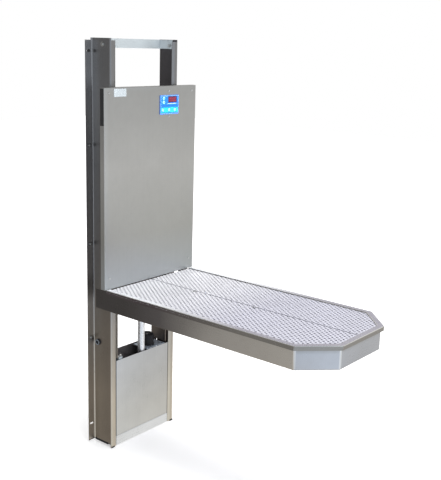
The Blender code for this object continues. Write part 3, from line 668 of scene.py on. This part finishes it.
def screw_heads():
    """Domed panel screws with a cross recess."""
    for node in sorted(NODES):
        if not node.startswith(("panel_screw", "fascia_screw")):
            continue
        low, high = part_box(node)
        centre = (low + high) / 2
        slots = bmesh.new()
        for across, tall in ((0.0034, 0.0007), (0.0007, 0.0034)):
            add_box(slots, (centre.x - across, low.y - 0.002, centre.z - tall),
                    (centre.x + across, low.y + 0.0014, centre.z + tall))
        tool = made("recess_tool", slots, ZINC, NODES[node]["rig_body"])
        screw = made(node + "_finished", node_mesh(node), BRIGHT_ZINC, NODES[node]["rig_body"])
        cut = screw.modifiers.new("recess", "BOOLEAN")
        cut.operation = "DIFFERENCE"
        cut.solver = "EXACT"
        cut.use_self = True
        cut.object = tool
        settle(screw, 32.0)
        bpy.data.objects.remove(tool, do_unlink=True)
        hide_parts(node)


def crossbar_bolts():
    """Hex bolts through the webs and the crossbar's tabs, each with its nut."""
    edges = {-1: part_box("left_upright")[0].x, 1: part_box("right_upright")[1].x}
    for side, node in ((-1, "crossbar_bolt_left"), (1, "crossbar_bolt_right")):
        low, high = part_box(node)
        centre = (low + high) / 2
        web = edges[side] - side * (WING_WIDTH - 0.0003)
        spot = (web, centre.y, centre.z)
        head = hex_bolt(node + "_head", spot, (side, 0, 0), "mast", 0.0088)
        inner = high.x if side < 0 else low.x
        reach = abs(inner - web)
        radius = 0.0038
        shank = bmesh.new()
        add_ring(shank, [(0.0, 0.0), (radius, 0.0), (radius, reach), (0.0, reach)], spot, (-side, 0, 0), 20)
        nut = [(radius, reach - 0.0062), (0.0078, reach - 0.0062), (0.0082, reach - 0.0055),
               (0.0082, reach - 0.0008), (0.0076, reach - 0.0002), (radius, reach - 0.0002)]
        add_ring(shank, nut, spot, (-side, 0, 0), 6)
        made(node + "_shank", shank, ZINC, "mast")
        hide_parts(node)


def wall_anchors():
    """What fills the slots of the wall flanges: a cap at the top, then zinc-plated screws on square washers.
    """
    for side, label in ((-1, "left"), (1, "right")):
        low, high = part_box(label + "_upright")
        x = side * (max(abs(low.x), abs(high.x)) - WING_SLOT_INSET)
        cap = bmesh.new()
        profile = [(0.0, 0.0), (0.0048, 0.0), (0.0048, 0.0016), (0.0072, 0.0018), (0.0066, 0.0030),
                   (0.0, 0.0034)]
        add_ring(cap, profile, (x, -0.0018, WING_SLOTS[0]), (0, -1, 0), 28)
        bmesh.ops.scale(cap, vec=(1.45, 1.0, 1.0), verts=cap.verts, space=Matrix.Translation((-x, 0, 0)))
        made("slot_cap_" + label, cap, RUBBER, "mast", smooth=40.0)
        half_wide, half_tall, back, front = 0.0135, 0.0085, -0.0026, -0.0041
        for number, z in enumerate(WING_SLOTS[1:], start=1):
            plate = bmesh.new()
            add_box(plate, (x - half_wide, front, z - half_tall), (x + half_wide, back, z + half_tall))
            eased(f"anchor_washer_{label}_{number}", plate, MAST_STEEL, "mast", 0.0004)
            screw = f"anchor_screw_{label}_{number}"
            hex_bolt(screw, (x, front, z), (0, -1, 0), "mast", 0.0055, 0.0045)


# ---------------------------------------------------------------- controls
def film(bm, x, z, wide, tall, front, thick=PROUD):
    """A thin printed patch on a face that looks towards -Y."""
    add_box(bm, (x - wide / 2, front - thick, z - tall / 2),
            (x + wide / 2, front + thick / 2, z + tall / 2))


def border(bm, low, high, front, inset, line):
    """Four strips inside the edges of a box's front."""
    centre = (low + high) / 2
    wide, tall = high.x - low.x, high.z - low.z
    for side in (-1, 1):
        film(bm, centre.x, centre.z + side * (tall / 2 - inset), wide - 2 * inset, line, front)
        film(bm, centre.x + side * (wide / 2 - inset), centre.z, line, tall - 2 * inset, front)


def key_band():
    """Pale blue band behind the lower keys, open round each of them."""
    low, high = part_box("control_fascia")
    keys = [middle(name + "_button") for name in ("zero", "units", "hold")]
    key_low, key_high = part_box("zero_button")
    reach = (key_high.x - key_low.x) / 2 + KEY_SPACE
    row = keys[0].z
    margin = 0.0055
    stops = [low.x + margin]
    for key in keys:
        stops += [key.x - reach, key.x + reach]
    stops.append(high.x - margin)
    bm = bmesh.new()
    for start, end in zip(stops[0::2], stops[1::2]):
        film(bm, (start + end) / 2, row, end - start, KEY_BAND_TALL, low.y)
    for key in keys:
        for side in (-1, 1):
            z = row + side * (KEY_BAND_TALL / 2 - KEY_SPACE)
            film(bm, key.x, z, 2 * reach, 2 * KEY_SPACE, low.y)
    made("key_band", bm, BAND_CYAN, "carriage")


def fascia_print():
    """Border, key band, line and stripe printed on the keypad."""
    low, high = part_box("control_fascia")
    centre = (low + high) / 2
    edge = bmesh.new()
    border(edge, low, high, low.y, 0.0030, 0.0009)
    made("fascia_border", edge, PRINT_PALE, "carriage")
    key_band()
    line = bmesh.new()
    film(line, centre.x + 0.017, centre.z + LINE_RISE, 0.062, 0.0022, low.y)
    made("fascia_line", line, PRINT_PALE, "carriage")
    stripe = bmesh.new()
    film(stripe, centre.x, centre.z - STRIPE_DROP, high.x - low.x - 0.014, 0.0026, low.y)
    made("fascia_stripe", stripe, PRINT_DEEP, "carriage")


def key_marks():
    """Plain arrows on the lift keys and rings on the others."""
    for name, sign in (("lift_up", 1), ("lift_down", -1)):
        low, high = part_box(name + "_button")
        centre = (low + high) / 2
        bm = bmesh.new()
        size = 0.0042
        points = [(-size, -size * 0.6 * sign), (size, -size * 0.6 * sign), (0.0, size * 0.8 * sign)]
        verts = [bm.verts.new((centre.x + x, low.y - PROUD, centre.z + z)) for x, z in points]
        face = bm.faces.new(verts)
        grown = bmesh.ops.extrude_face_region(bm, geom=[face])
        moved = [item for item in grown["geom"] if isinstance(item, bmesh.types.BMVert)]
        bmesh.ops.translate(bm, vec=(0, PROUD * 1.5, 0), verts=moved)
        made(name + "_arrow", bm, PRINT_DEEP, name + "_key")
    for name in ("zero", "units", "hold"):
        low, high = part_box(name + "_button")
        centre = (low + high) / 2
        bm = bmesh.new()
        add_ring(bm, [(0.0030, 0.0), (0.0030, PROUD), (0.0038, PROUD), (0.0038, 0.0), (0.0030, 0.0)],
                 (centre.x, low.y + 0.00002, centre.z), (0, -1, 0), 32)
        bmesh.ops.remove_doubles(bm, verts=bm.verts, dist=0.000001)
        made(name + "_ring", bm, PRINT_DEEP, name + "_key")


def digits():
    """Four seven-segment noughts on the display, with one decimal point."""
    low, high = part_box("display_window")
    front = low.y
    wide, tall = 0.0075, 0.0150
    thick = 0.0017
    upright_bar = tall / 2 - thick * 0.7
    z = (low.z + high.z) / 2
    bm = bmesh.new()
    pitch = (high.x - low.x) / 4.6
    for place in range(4):
        x = low.x + pitch * (place + 0.8)
        for up in (-1, 1):
            film(bm, x, z + up * tall / 2, wide - thick, thick, front)
            for side in (-1, 1):
                film(bm, x + side * wide / 2, z + up * tall / 4, thick, upright_bar, front)
    film(bm, low.x + pitch * 3.3, low.z + 0.0062, 0.0018, 0.0018, front)
    made("display_digits", bm, DIGIT_RED, "carriage")


def label_plate():
    """Blank rating label, stuck on near the panel's upper left corner."""
    low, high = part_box("back_panel")
    bm = bmesh.new()
    right, up = low.x + LABEL_RIGHT, high.z - LABEL_DOWN
    add_box(bm, (right - LABEL_WIDE, low.y - 0.0008, up - LABEL_TALL), (right, low.y - PROUD, up))
    eased("label_plate", bm, LABEL_WHITE, "carriage", 0.00015)


def display_bezel():
    """Dark frame printed round the display."""
    low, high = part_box("display_window")
    centre = (low + high) / 2
    wide, tall = high.x - low.x, high.z - low.z
    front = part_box("control_fascia")[0].y
    line, thick = 0.0014, 0.0004
    bm = bmesh.new()
    for side in (-1, 1):
        film(bm, centre.x, centre.z + side * (tall / 2 + line), wide + 3 * line, line, front, thick)
        film(bm, centre.x + side * (wide / 2 + line), centre.z, line, tall + line, front, thick)
    made("display_bezel", bm, PRINT_DEEP, "carriage")


# ---------------------------------------------------------------- drive details
def motor():
    """Ribbed motor can with an end bell, its screws and a round sunk centre."""
    low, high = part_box("drive_motor")
    centre = (low + high) / 2
    radius = (high.x - low.x) / 2
    tall = high.z + MOTOR_BELL - low.z
    bm = bmesh.new()
    profile = [(0.0, 0.0), (radius - 0.004, 0.0), (radius, 0.004), (radius, 0.020)]
    height = 0.024
    while height < tall - 0.060:
        profile += [(radius - 0.0025, height), (radius - 0.0025, height + 0.004),
                    (radius, height + 0.0048), (radius, height + 0.0085)]
        height += 0.0095
    top = tall - 0.045
    profile += [(radius - 0.002, top), (radius - 0.002, top + 0.003), (radius, top + 0.004),
                (radius, tall - 0.012), (radius - 0.003, tall - 0.005), (radius - 0.010, tall - 0.001),
                (0.014, tall - 0.001), (0.013, tall - 0.003), (0.0, tall - 0.003)]
    add_ring(bm, profile, (centre.x, centre.y, low.z), (0, 0, 1), 56)
    body = made("drive_motor_finished", bm, MOTOR_BLACK, "mast", smooth=38.0)
    spots = []
    for step in range(4):
        angle = math.pi / 4 + step * math.pi / 2
        spots.append((centre.x + 0.021 * math.cos(angle), centre.y + 0.021 * math.sin(angle),
                      high.z + MOTOR_BELL - 0.0012))
    screw_set("motor_bell_screws", "mast", spots, (0, 0, 1), 0.0030, 0.0011)
    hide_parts("drive_motor")


def screw_set(name, body, spots, axis, radius, tall):
    """Cap screws joined into one piece."""
    bm = bmesh.new()
    for spot in spots:
        cap_screw(bm, spot, axis, radius, tall)
    made(name, bm, ZINC, body)


def gearbox_bolts():
    """Four screws in the gearbox's top."""
    low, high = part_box("gearbox")
    spots = [(x, y, high.z) for x in (low.x + 0.010, high.x - 0.010) for y in (low.y + 0.010, high.y - 0.010)]
    screw_set("gearbox_bolts", "mast", spots, (0, 0, 1), 0.0045, 0.0045)


def tube_wiper():
    """Scraper ring at the mouth of the actuator tube."""
    low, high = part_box("actuator_tube")
    centre = (low + high) / 2
    rod_low, rod_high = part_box("actuator_rod")
    rod = (rod_high.x - rod_low.x) / 2 + 0.0004
    outer = (high.x - low.x) / 2
    bm = bmesh.new()
    profile = [(rod, -0.006), (rod, 0.0015), (outer - 0.001, 0.0015), (outer + 0.0015, 0.0),
               (outer + 0.0015, -0.010), (outer + 0.0003, -0.011), (outer + 0.0003, 0.0004),
               (outer - 0.0012, 0.0006), (rod + 0.0012, 0.0004), (rod + 0.0012, -0.006), (rod, -0.006)]
    add_ring(bm, profile, (centre.x, centre.y, high.z), (0, 0, 1), 40)
    bmesh.ops.remove_doubles(bm, verts=bm.verts, dist=0.000001)
    made("tube_wiper", bm, RUBBER, "mast", smooth=40.0)


def screw_thread():
    """Ridged lead screw in place of the plain one."""
    low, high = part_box("lead_screw")
    centre = (low + high) / 2
    crest = (high.x - low.x) / 2
    root = crest - 0.0012
    ridge = [(0.0, root), (0.30, root), (0.45, crest), (0.75, crest), (0.90, root)]
    turns = round((high.z - low.z) / SCREW_LEAD)
    pitch = (high.z - low.z) / turns
    profile = [(0.0, 0.0)]
    for turn in range(turns):
        profile += [(radius, (turn + share) * pitch) for share, radius in ridge]
    profile.append((0.0, (turns - 0.1) * pitch))
    bm = bmesh.new()
    add_ring(bm, profile, (centre.x, centre.y, low.z), (0, 0, 1), 20)
    obj = made("lead_screw_finished", bm, SCREW_STEEL, "lead_screw_body", smooth=40.0)
    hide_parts("lead_screw")


def inlet_pins():
    low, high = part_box("power_inlet")
    centre = (low + high) / 2
    bm = bmesh.new()
    for step in range(3):
        angle = math.pi / 2 + step * 2 * math.pi / 3
        spot = (low.x + 0.0068, centre.y + 0.0045 * math.cos(angle), centre.z + 0.0045 * math.sin(angle))
        add_ring(bm, [(0.0, 0.0052), (0.0009, 0.0052), (0.0012, 0.0046), (0.0012, 0.0), (0.0, 0.0)],
                 spot, (-1, 0, 0), 14)
    made("inlet_pins", bm, ZINC, "mast", smooth=50.0)
    ring = bmesh.new()
    add_ring(ring, [(0.0092, 0.0), (0.0092, 0.0009), (0.0118, 0.0014), (0.0135, 0.0010), (0.0135, 0.0),
                    (0.0092, 0.0)], (low.x, centre.y, centre.z), (-1, 0, 0), 36)
    bmesh.ops.remove_doubles(ring, verts=ring.verts, dist=0.000001)
    made("inlet_ring", ring, RING_STEEL, "mast", smooth=40.0)


def limit_lever():
    """Spring lever and roller of the limit switch."""
    low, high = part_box("limit_switch")
    bm = bmesh.new()
    add_box(bm, (low.x + 0.003, low.y + 0.008, high.z + 0.0002),
            (high.x + 0.001, low.y + 0.015, high.z + 0.0010))
    made("limit_lever", bm, ZINC, "mast")
    wheel = bmesh.new()
    add_ring(wheel, [(0.0, -0.003), (0.0038, -0.003), (0.0042, -0.0025), (0.0042, 0.0025),
                     (0.0038, 0.003), (0.0, 0.003)],
             (high.x - 0.004, low.y + 0.0115, high.z + 0.0054), (0, 1, 0), 28)
    made("limit_wheel", wheel, NYLON, "mast", smooth=40.0)


def foot_edges():
    """Rubber edging over the bottom ends of the uprights: front flange and web."""
    for side, node in ((-1, "left_upright"), (1, "right_upright")):
        label = node.split("_")[0]
        low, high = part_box(node)
        web = max(abs(low.x), abs(high.x)) - WING_WIDTH
        parts = {"flange": ((web - FLANGE_WIDTH, low.y - 0.0011, 0.0002),
                            (web + 0.001, low.y - 0.0001, 0.0075)),
                 "web": ((web - 0.0028, low.y + 0.024, 0.0130), (web + 0.0010, -0.006, 0.0235))}
        for part, (near, far) in parts.items():
            bm = bmesh.new()
            xs = sorted((side * near[0], side * far[0]))
            add_box(bm, (xs[0], near[1], near[2]), (xs[1], far[1], far[2]))
            eased(f"foot_{part}_{label}", bm, RUBBER, "mast", 0.0003)


def load_cell_screws():
    bm = bmesh.new()
    for number in range(1, 5):
        low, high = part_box(f"load_cell_{number}")
        centre = (low + high) / 2
        side = 1 if centre.x > 0 else -1
        face = high.x if side < 0 else low.x
        for y in (low.y + 0.014, high.y - 0.014):
            cap_screw(bm, (face, y, centre.z), (-side, 0, 0), 0.0045, 0.0045)
    made("load_cell_screws", bm, ZINC, "carriage")


def panel_dark_strips():
    """Thin black strips on the panel's side returns, near the top."""
    low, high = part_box("back_panel")
    for side, label in ((-1, "left"), (1, "right")):
        outer = side * high.x
        x0, x1 = sorted((outer, outer - side * 0.0012))
        bm = bmesh.new()
        add_box(bm, (x0, low.y + 0.0030, high.z - 0.168), (x1, high.y - 0.0005, high.z - 0.004))
        eased("panel_dark_strip_" + label, bm, RUBBER, "carriage", 0.00015)


def box_lid_screws():
    """Four screws in the control box's lid."""
    low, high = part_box("control_box")
    spots = [(x, high.y, z) for x in (low.x + 0.007, high.x - 0.007) for z in (low.z + 0.007, high.z - 0.007)]
    screw_set("control_box_screws", "carriage", spots, (0, 1, 0), 0.0030, 0.0018)


def weld_beads():
    """Low beads where the carriage's side plates meet its face plate."""
    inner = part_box("carriage_frame")[1].x - 0.0062
    back = -0.1580
    steps = 150
    bottom, top = WELD_ENDS
    bm = bmesh.new()
    for side in (-1, 1):
        x = side * inner
        previous = None
        for step in range(steps + 1):
            z = bottom + (top - bottom) * step / steps
            size = 0.0030 + 0.0006 * math.sin(step * 2.1)
            ring = [bm.verts.new((x - side * size * along, back + size * deep, z))
                    for along, deep in ((-0.2, -0.2), (1.0, -0.2), (0.75, 0.55), (0.55, 0.75), (-0.2, 1.0))]
            if previous:
                for here in range(5):
                    there = (here + 1) % 5
                    bm.faces.new((previous[here], previous[there], ring[there], ring[here]))
            else:
                bm.faces.new(ring)
            previous = ring
        bm.faces.new(previous)
    made("carriage_welds", bm, ZINC, "carriage", smooth=60.0)


# ---------------------------------------------------------------- assembly of the looks
def is_upright_fold(face):
    """True on the bent strips between the table's front, chamfers and sides."""
    if abs(face.normal.z) > 0.2:
        return False
    eighth = math.pi / 4
    off = math.atan2(face.normal.y, face.normal.x) % eighth
    return face.normal.y < -0.2 and min(off, eighth - off) > math.radians(5)


def dress_frame():
    for side, node in ((-1, "left_upright"), (1, "right_upright")):
        upright = finished(node, MAST_STEEL, 0.0004)
        web = max(abs(value) for value in (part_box(node)[0].x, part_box(node)[1].x)) - WING_WIDTH
        # Outer web faces get painted shade and a painted floor reflection.
        recolour(upright, WEB_STEEL,
                 lambda face: face.normal.x * side > 0.9 and face.center.x * side < web + 0.001)
        # Inner channel faces get the darkened copy of the steel: painted shade.
        recolour(upright, INNER_SHADE_STEEL,
                 lambda face: face.normal.x * side < -0.9 and face.center.x * side < web + 0.001)
        # Wall flange fronts get the lighter copy of the steel: painted light.
        recolour(upright, WING_STEEL,
                 lambda face: face.normal.y < -0.9 and face.center.x * side > web + 0.004)
    finished("top_crossbar", BAR_STEEL, 0.0004)
    finished("base_crossbar", BASE_STEEL, 0.0004)
    finished("motor_cover", COVER_STEEL, 0.0003)
    finished("housing_back_plate", HOUSING_STEEL, 0.0003)
    finished("motor_shelf", SHELF_STEEL, 0.0004)
    panel = finished("back_panel", PANEL_STEEL, 0.0003)
    for vertex in panel.data.vertices:
        vertex.co.x *= 1.0 - EDGE_RELIEF
    apron = finished("tray_frame", APRON_STEEL, 0.0004)
    # Front and chamfer faces get the painted shadow under the rim's lip.
    recolour(apron, END_STEEL, lambda face: face.normal.y < -0.5)
    # The bends get a painted highlight.
    recolour(apron, FOLD_STEEL, is_upright_fold)
    # Rim top carries a painted reflection that rises towards the wall.
    rim = finished("tray_rim", RIM_STEEL, 0.0003)
    # Skirt faces get painted shade.
    recolour(rim, SKIRT_STEEL, lambda face: abs(face.normal.z) < 0.35)
    # Bend faces get a painted highlight.
    recolour(rim, EDGE_STEEL, lambda face: 0.35 <= face.normal.z < 0.95)
    finished("tray_tub", TUB_STEEL, 0.0003)
    finished("tub_floor", TUB_STEEL, 0.0004)
    finished("grate_spine", TUB_STEEL, 0.0004)
    carriage = finished("carriage_frame", CARRIAGE_STEEL, 0.0007)
    # Outer side faces get the lit copy of the steel: painted light.
    recolour(carriage, CARRIAGE_EDGE, lambda face: abs(face.center.x) > 0.1735 and abs(face.normal.x) > 0.9)
    finished("tray_cross_plate", CARRIAGE_STEEL, 0.0006)
    for level in ("lower", "upper"):
        finished(level + "_panel_bar", ZINC, 0.0004)
    finished("gearbox", CAST_ALLOY, 0.0015)
    finished("control_box", BOX_BLACK, 0.002, 3)
    finished("control_fascia", CONTROL_BLUE, 0.0003)
    finished("display_window", DISPLAY_RED, 0.0003)
    finished("limit_switch", LABEL_WHITE, 0.0008)
    for name in ("lift_up", "lift_down", "zero", "units", "hold"):
        finished(name + "_button", KEY_CYAN, 0.0)
    for name in ("actuator_tube", "actuator_rod"):
        finished(name, CHROME, 0.0)
    finished("rod_end_bolt", ZINC, 0.0)
    finished("drain_fitting", BASE_STEEL, 0.0)
    finished("power_inlet", INLET_BLACK, 0.0)
    for side in ("left", "right"):
        finished("foot_trim_" + side, RUBBER, 0.0008)
        finished("stop_post_" + side, RUBBER, 0.0015)
        for level in ("upper", "lower"):
            finished(f"roller_{level}_{side}", NYLON, 0.0)
            finished(f"axle_{level}_{side}", ZINC, 0.0)
    for number in range(1, 5):
        finished(f"load_cell_{number}", CAST_ALLOY, 0.001)


def dress_details():
    expanded_metal("left_grate")
    expanded_metal("right_grate")
    seam_bar()
    lift_rings()
    rim_folds()
    screw_heads()
    crossbar_bolts()
    wall_anchors()
    fascia_print()
    key_marks()
    digits()
    label_plate()
    display_bezel()
    motor()
    gearbox_bolts()
    tube_wiper()
    screw_thread()
    inlet_pins()
    limit_lever()
    foot_edges()
    load_cell_screws()
    box_lid_screws()
    panel_dark_strips()
    weld_beads()


# ---------------------------------------------------------------- studio
def floor():
    bm = bmesh.new()
    bmesh.ops.create_grid(bm, x_segments=1, y_segments=1, size=14.0)
    mesh = bpy.data.meshes.new("floor")
    bm.to_mesh(mesh)
    bm.free()
    shader = Shader("floor_paint", (0.93, 0.93, 0.925), 0.85, 0.0)
    fleck = shader.noise(3.0, detail=4.0)
    tone = shader.grey(shader.spread(fleck, 0.985, 1.01))
    shader.feed("Base Color", shader.mix(1.0, (0.93, 0.93, 0.925), tone, "MULTIPLY"))
    # The floor glows, dimmer near the table and full white far out: painted light that keeps a soft shadow
    # close in and hides the horizon.
    distance = shader.add("ShaderNodeVectorMath", operation="LENGTH")
    shader.link(shader.place, distance.inputs[0])
    shader.fix("Emission Color", (1.0, 1.0, 1.0, 1.0))
    shader.feed("Emission Strength", shader.spread(distance.outputs["Value"], 0.42, 1.0, (1.2, 3.6)))
    mesh.materials.append(shader.material)
    obj = bpy.data.objects.new("floor", mesh)
    bpy.context.scene.collection.objects.link(obj)
    obj.visible_glossy = False


def sky():
    """Soft surroundings: a dim far side, a bright room behind the camera and warm light from below."""
    world = bpy.data.worlds.new("studio")
    bpy.context.scene.world = world
    world.use_nodes = True
    tree = world.node_tree
    tree.nodes.clear()
    direction = tree.nodes.new("ShaderNodeTexCoord").outputs["Generated"]
    total = None
    ambient = (0.22, 0.22, 0.225)
    lobes = (
        ((-0.49, -0.80, -0.30), 1.6, (0.46, 0.53, 0.62)),
        ((0.76, -0.62, -0.20), 1.2, (0.40, 0.395, 0.38)),
        ((0.74, 0.58, 0.36), 1.6, (0.42, 0.41, 0.40)),
        ((-0.95, 0.10, -0.30), 8.0, (0.30, 0.285, 0.26)),
        ((0.0, 0.0, -1.0), 1.6, (0.16, 0.12, 0.06)),
    )
    for place, power, colour in lobes:
        dot = tree.nodes.new("ShaderNodeVectorMath")
        dot.operation = "DOT_PRODUCT"
        tree.links.new(direction, dot.inputs[0])
        dot.inputs[1].default_value = Vector(place).normalized()
        above = tree.nodes.new("ShaderNodeMath")
        above.operation = "MAXIMUM"
        above.inputs[1].default_value = 0.0
        tree.links.new(dot.outputs["Value"], above.inputs[0])
        shaped = tree.nodes.new("ShaderNodeMath")
        shaped.operation = "POWER"
        shaped.inputs[1].default_value = power
        tree.links.new(above.outputs[0], shaped.inputs[0])
        scaled = tree.nodes.new("ShaderNodeVectorMath")
        scaled.operation = "SCALE"
        scaled.inputs[0].default_value = colour
        tree.links.new(shaped.outputs[0], scaled.inputs["Scale"])
        add = tree.nodes.new("ShaderNodeVectorMath")
        add.operation = "ADD"
        tree.links.new(scaled.outputs[0], add.inputs[0])
        if total is None:
            add.inputs[1].default_value = ambient
        else:
            tree.links.new(total, add.inputs[1])
        total = add.outputs[0]
    lighting = tree.nodes.new("ShaderNodeBackground")
    tree.links.new(total, lighting.inputs["Color"])
    backdrop = tree.nodes.new("ShaderNodeBackground")
    backdrop.inputs["Color"].default_value = (1.0, 1.0, 1.0, 1.0)
    pick = tree.nodes.new("ShaderNodeMixShader")
    path = tree.nodes.new("ShaderNodeLightPath")
    output = tree.nodes.new("ShaderNodeOutputWorld")
    tree.links.new(path.outputs["Is Camera Ray"], pick.inputs[0])
    tree.links.new(lighting.outputs[0], pick.inputs[1])
    tree.links.new(backdrop.outputs[0], pick.inputs[2])
    tree.links.new(pick.outputs[0], output.inputs["Surface"])


def lamp(name, place, target, size, power, colour=(1.0, 1.0, 1.0)):
    """A soft box that lights paint and matt steel; polished faces mirror the room instead."""
    data = bpy.data.lights.new(name, "AREA")
    data.shape = "DISK"
    data.size = size
    data.energy = power
    data.color = colour
    obj = bpy.data.objects.new(name, data)
    bpy.context.scene.collection.objects.link(obj)
    obj.location = place
    obj.rotation_mode = "QUATERNION"
    obj.rotation_quaternion = (Vector(target) - Vector(place)).to_track_quat("-Z", "Y")
    obj.visible_glossy = False


def studio():
    floor()
    sky()
    lamp("overhead", (0.2, -1.4, 4.6), (0.0, -0.8, 0.4), 3.4, 260.0)
    lamp("front", (-1.6, -5.0, 2.6), (0.0, -0.5, 0.9), 2.4, 60.0, (0.95, 0.98, 1.0))
    bpy.context.scene.view_settings.view_transform = "Standard"


camera()
dress_frame()
dress_details()
studio()
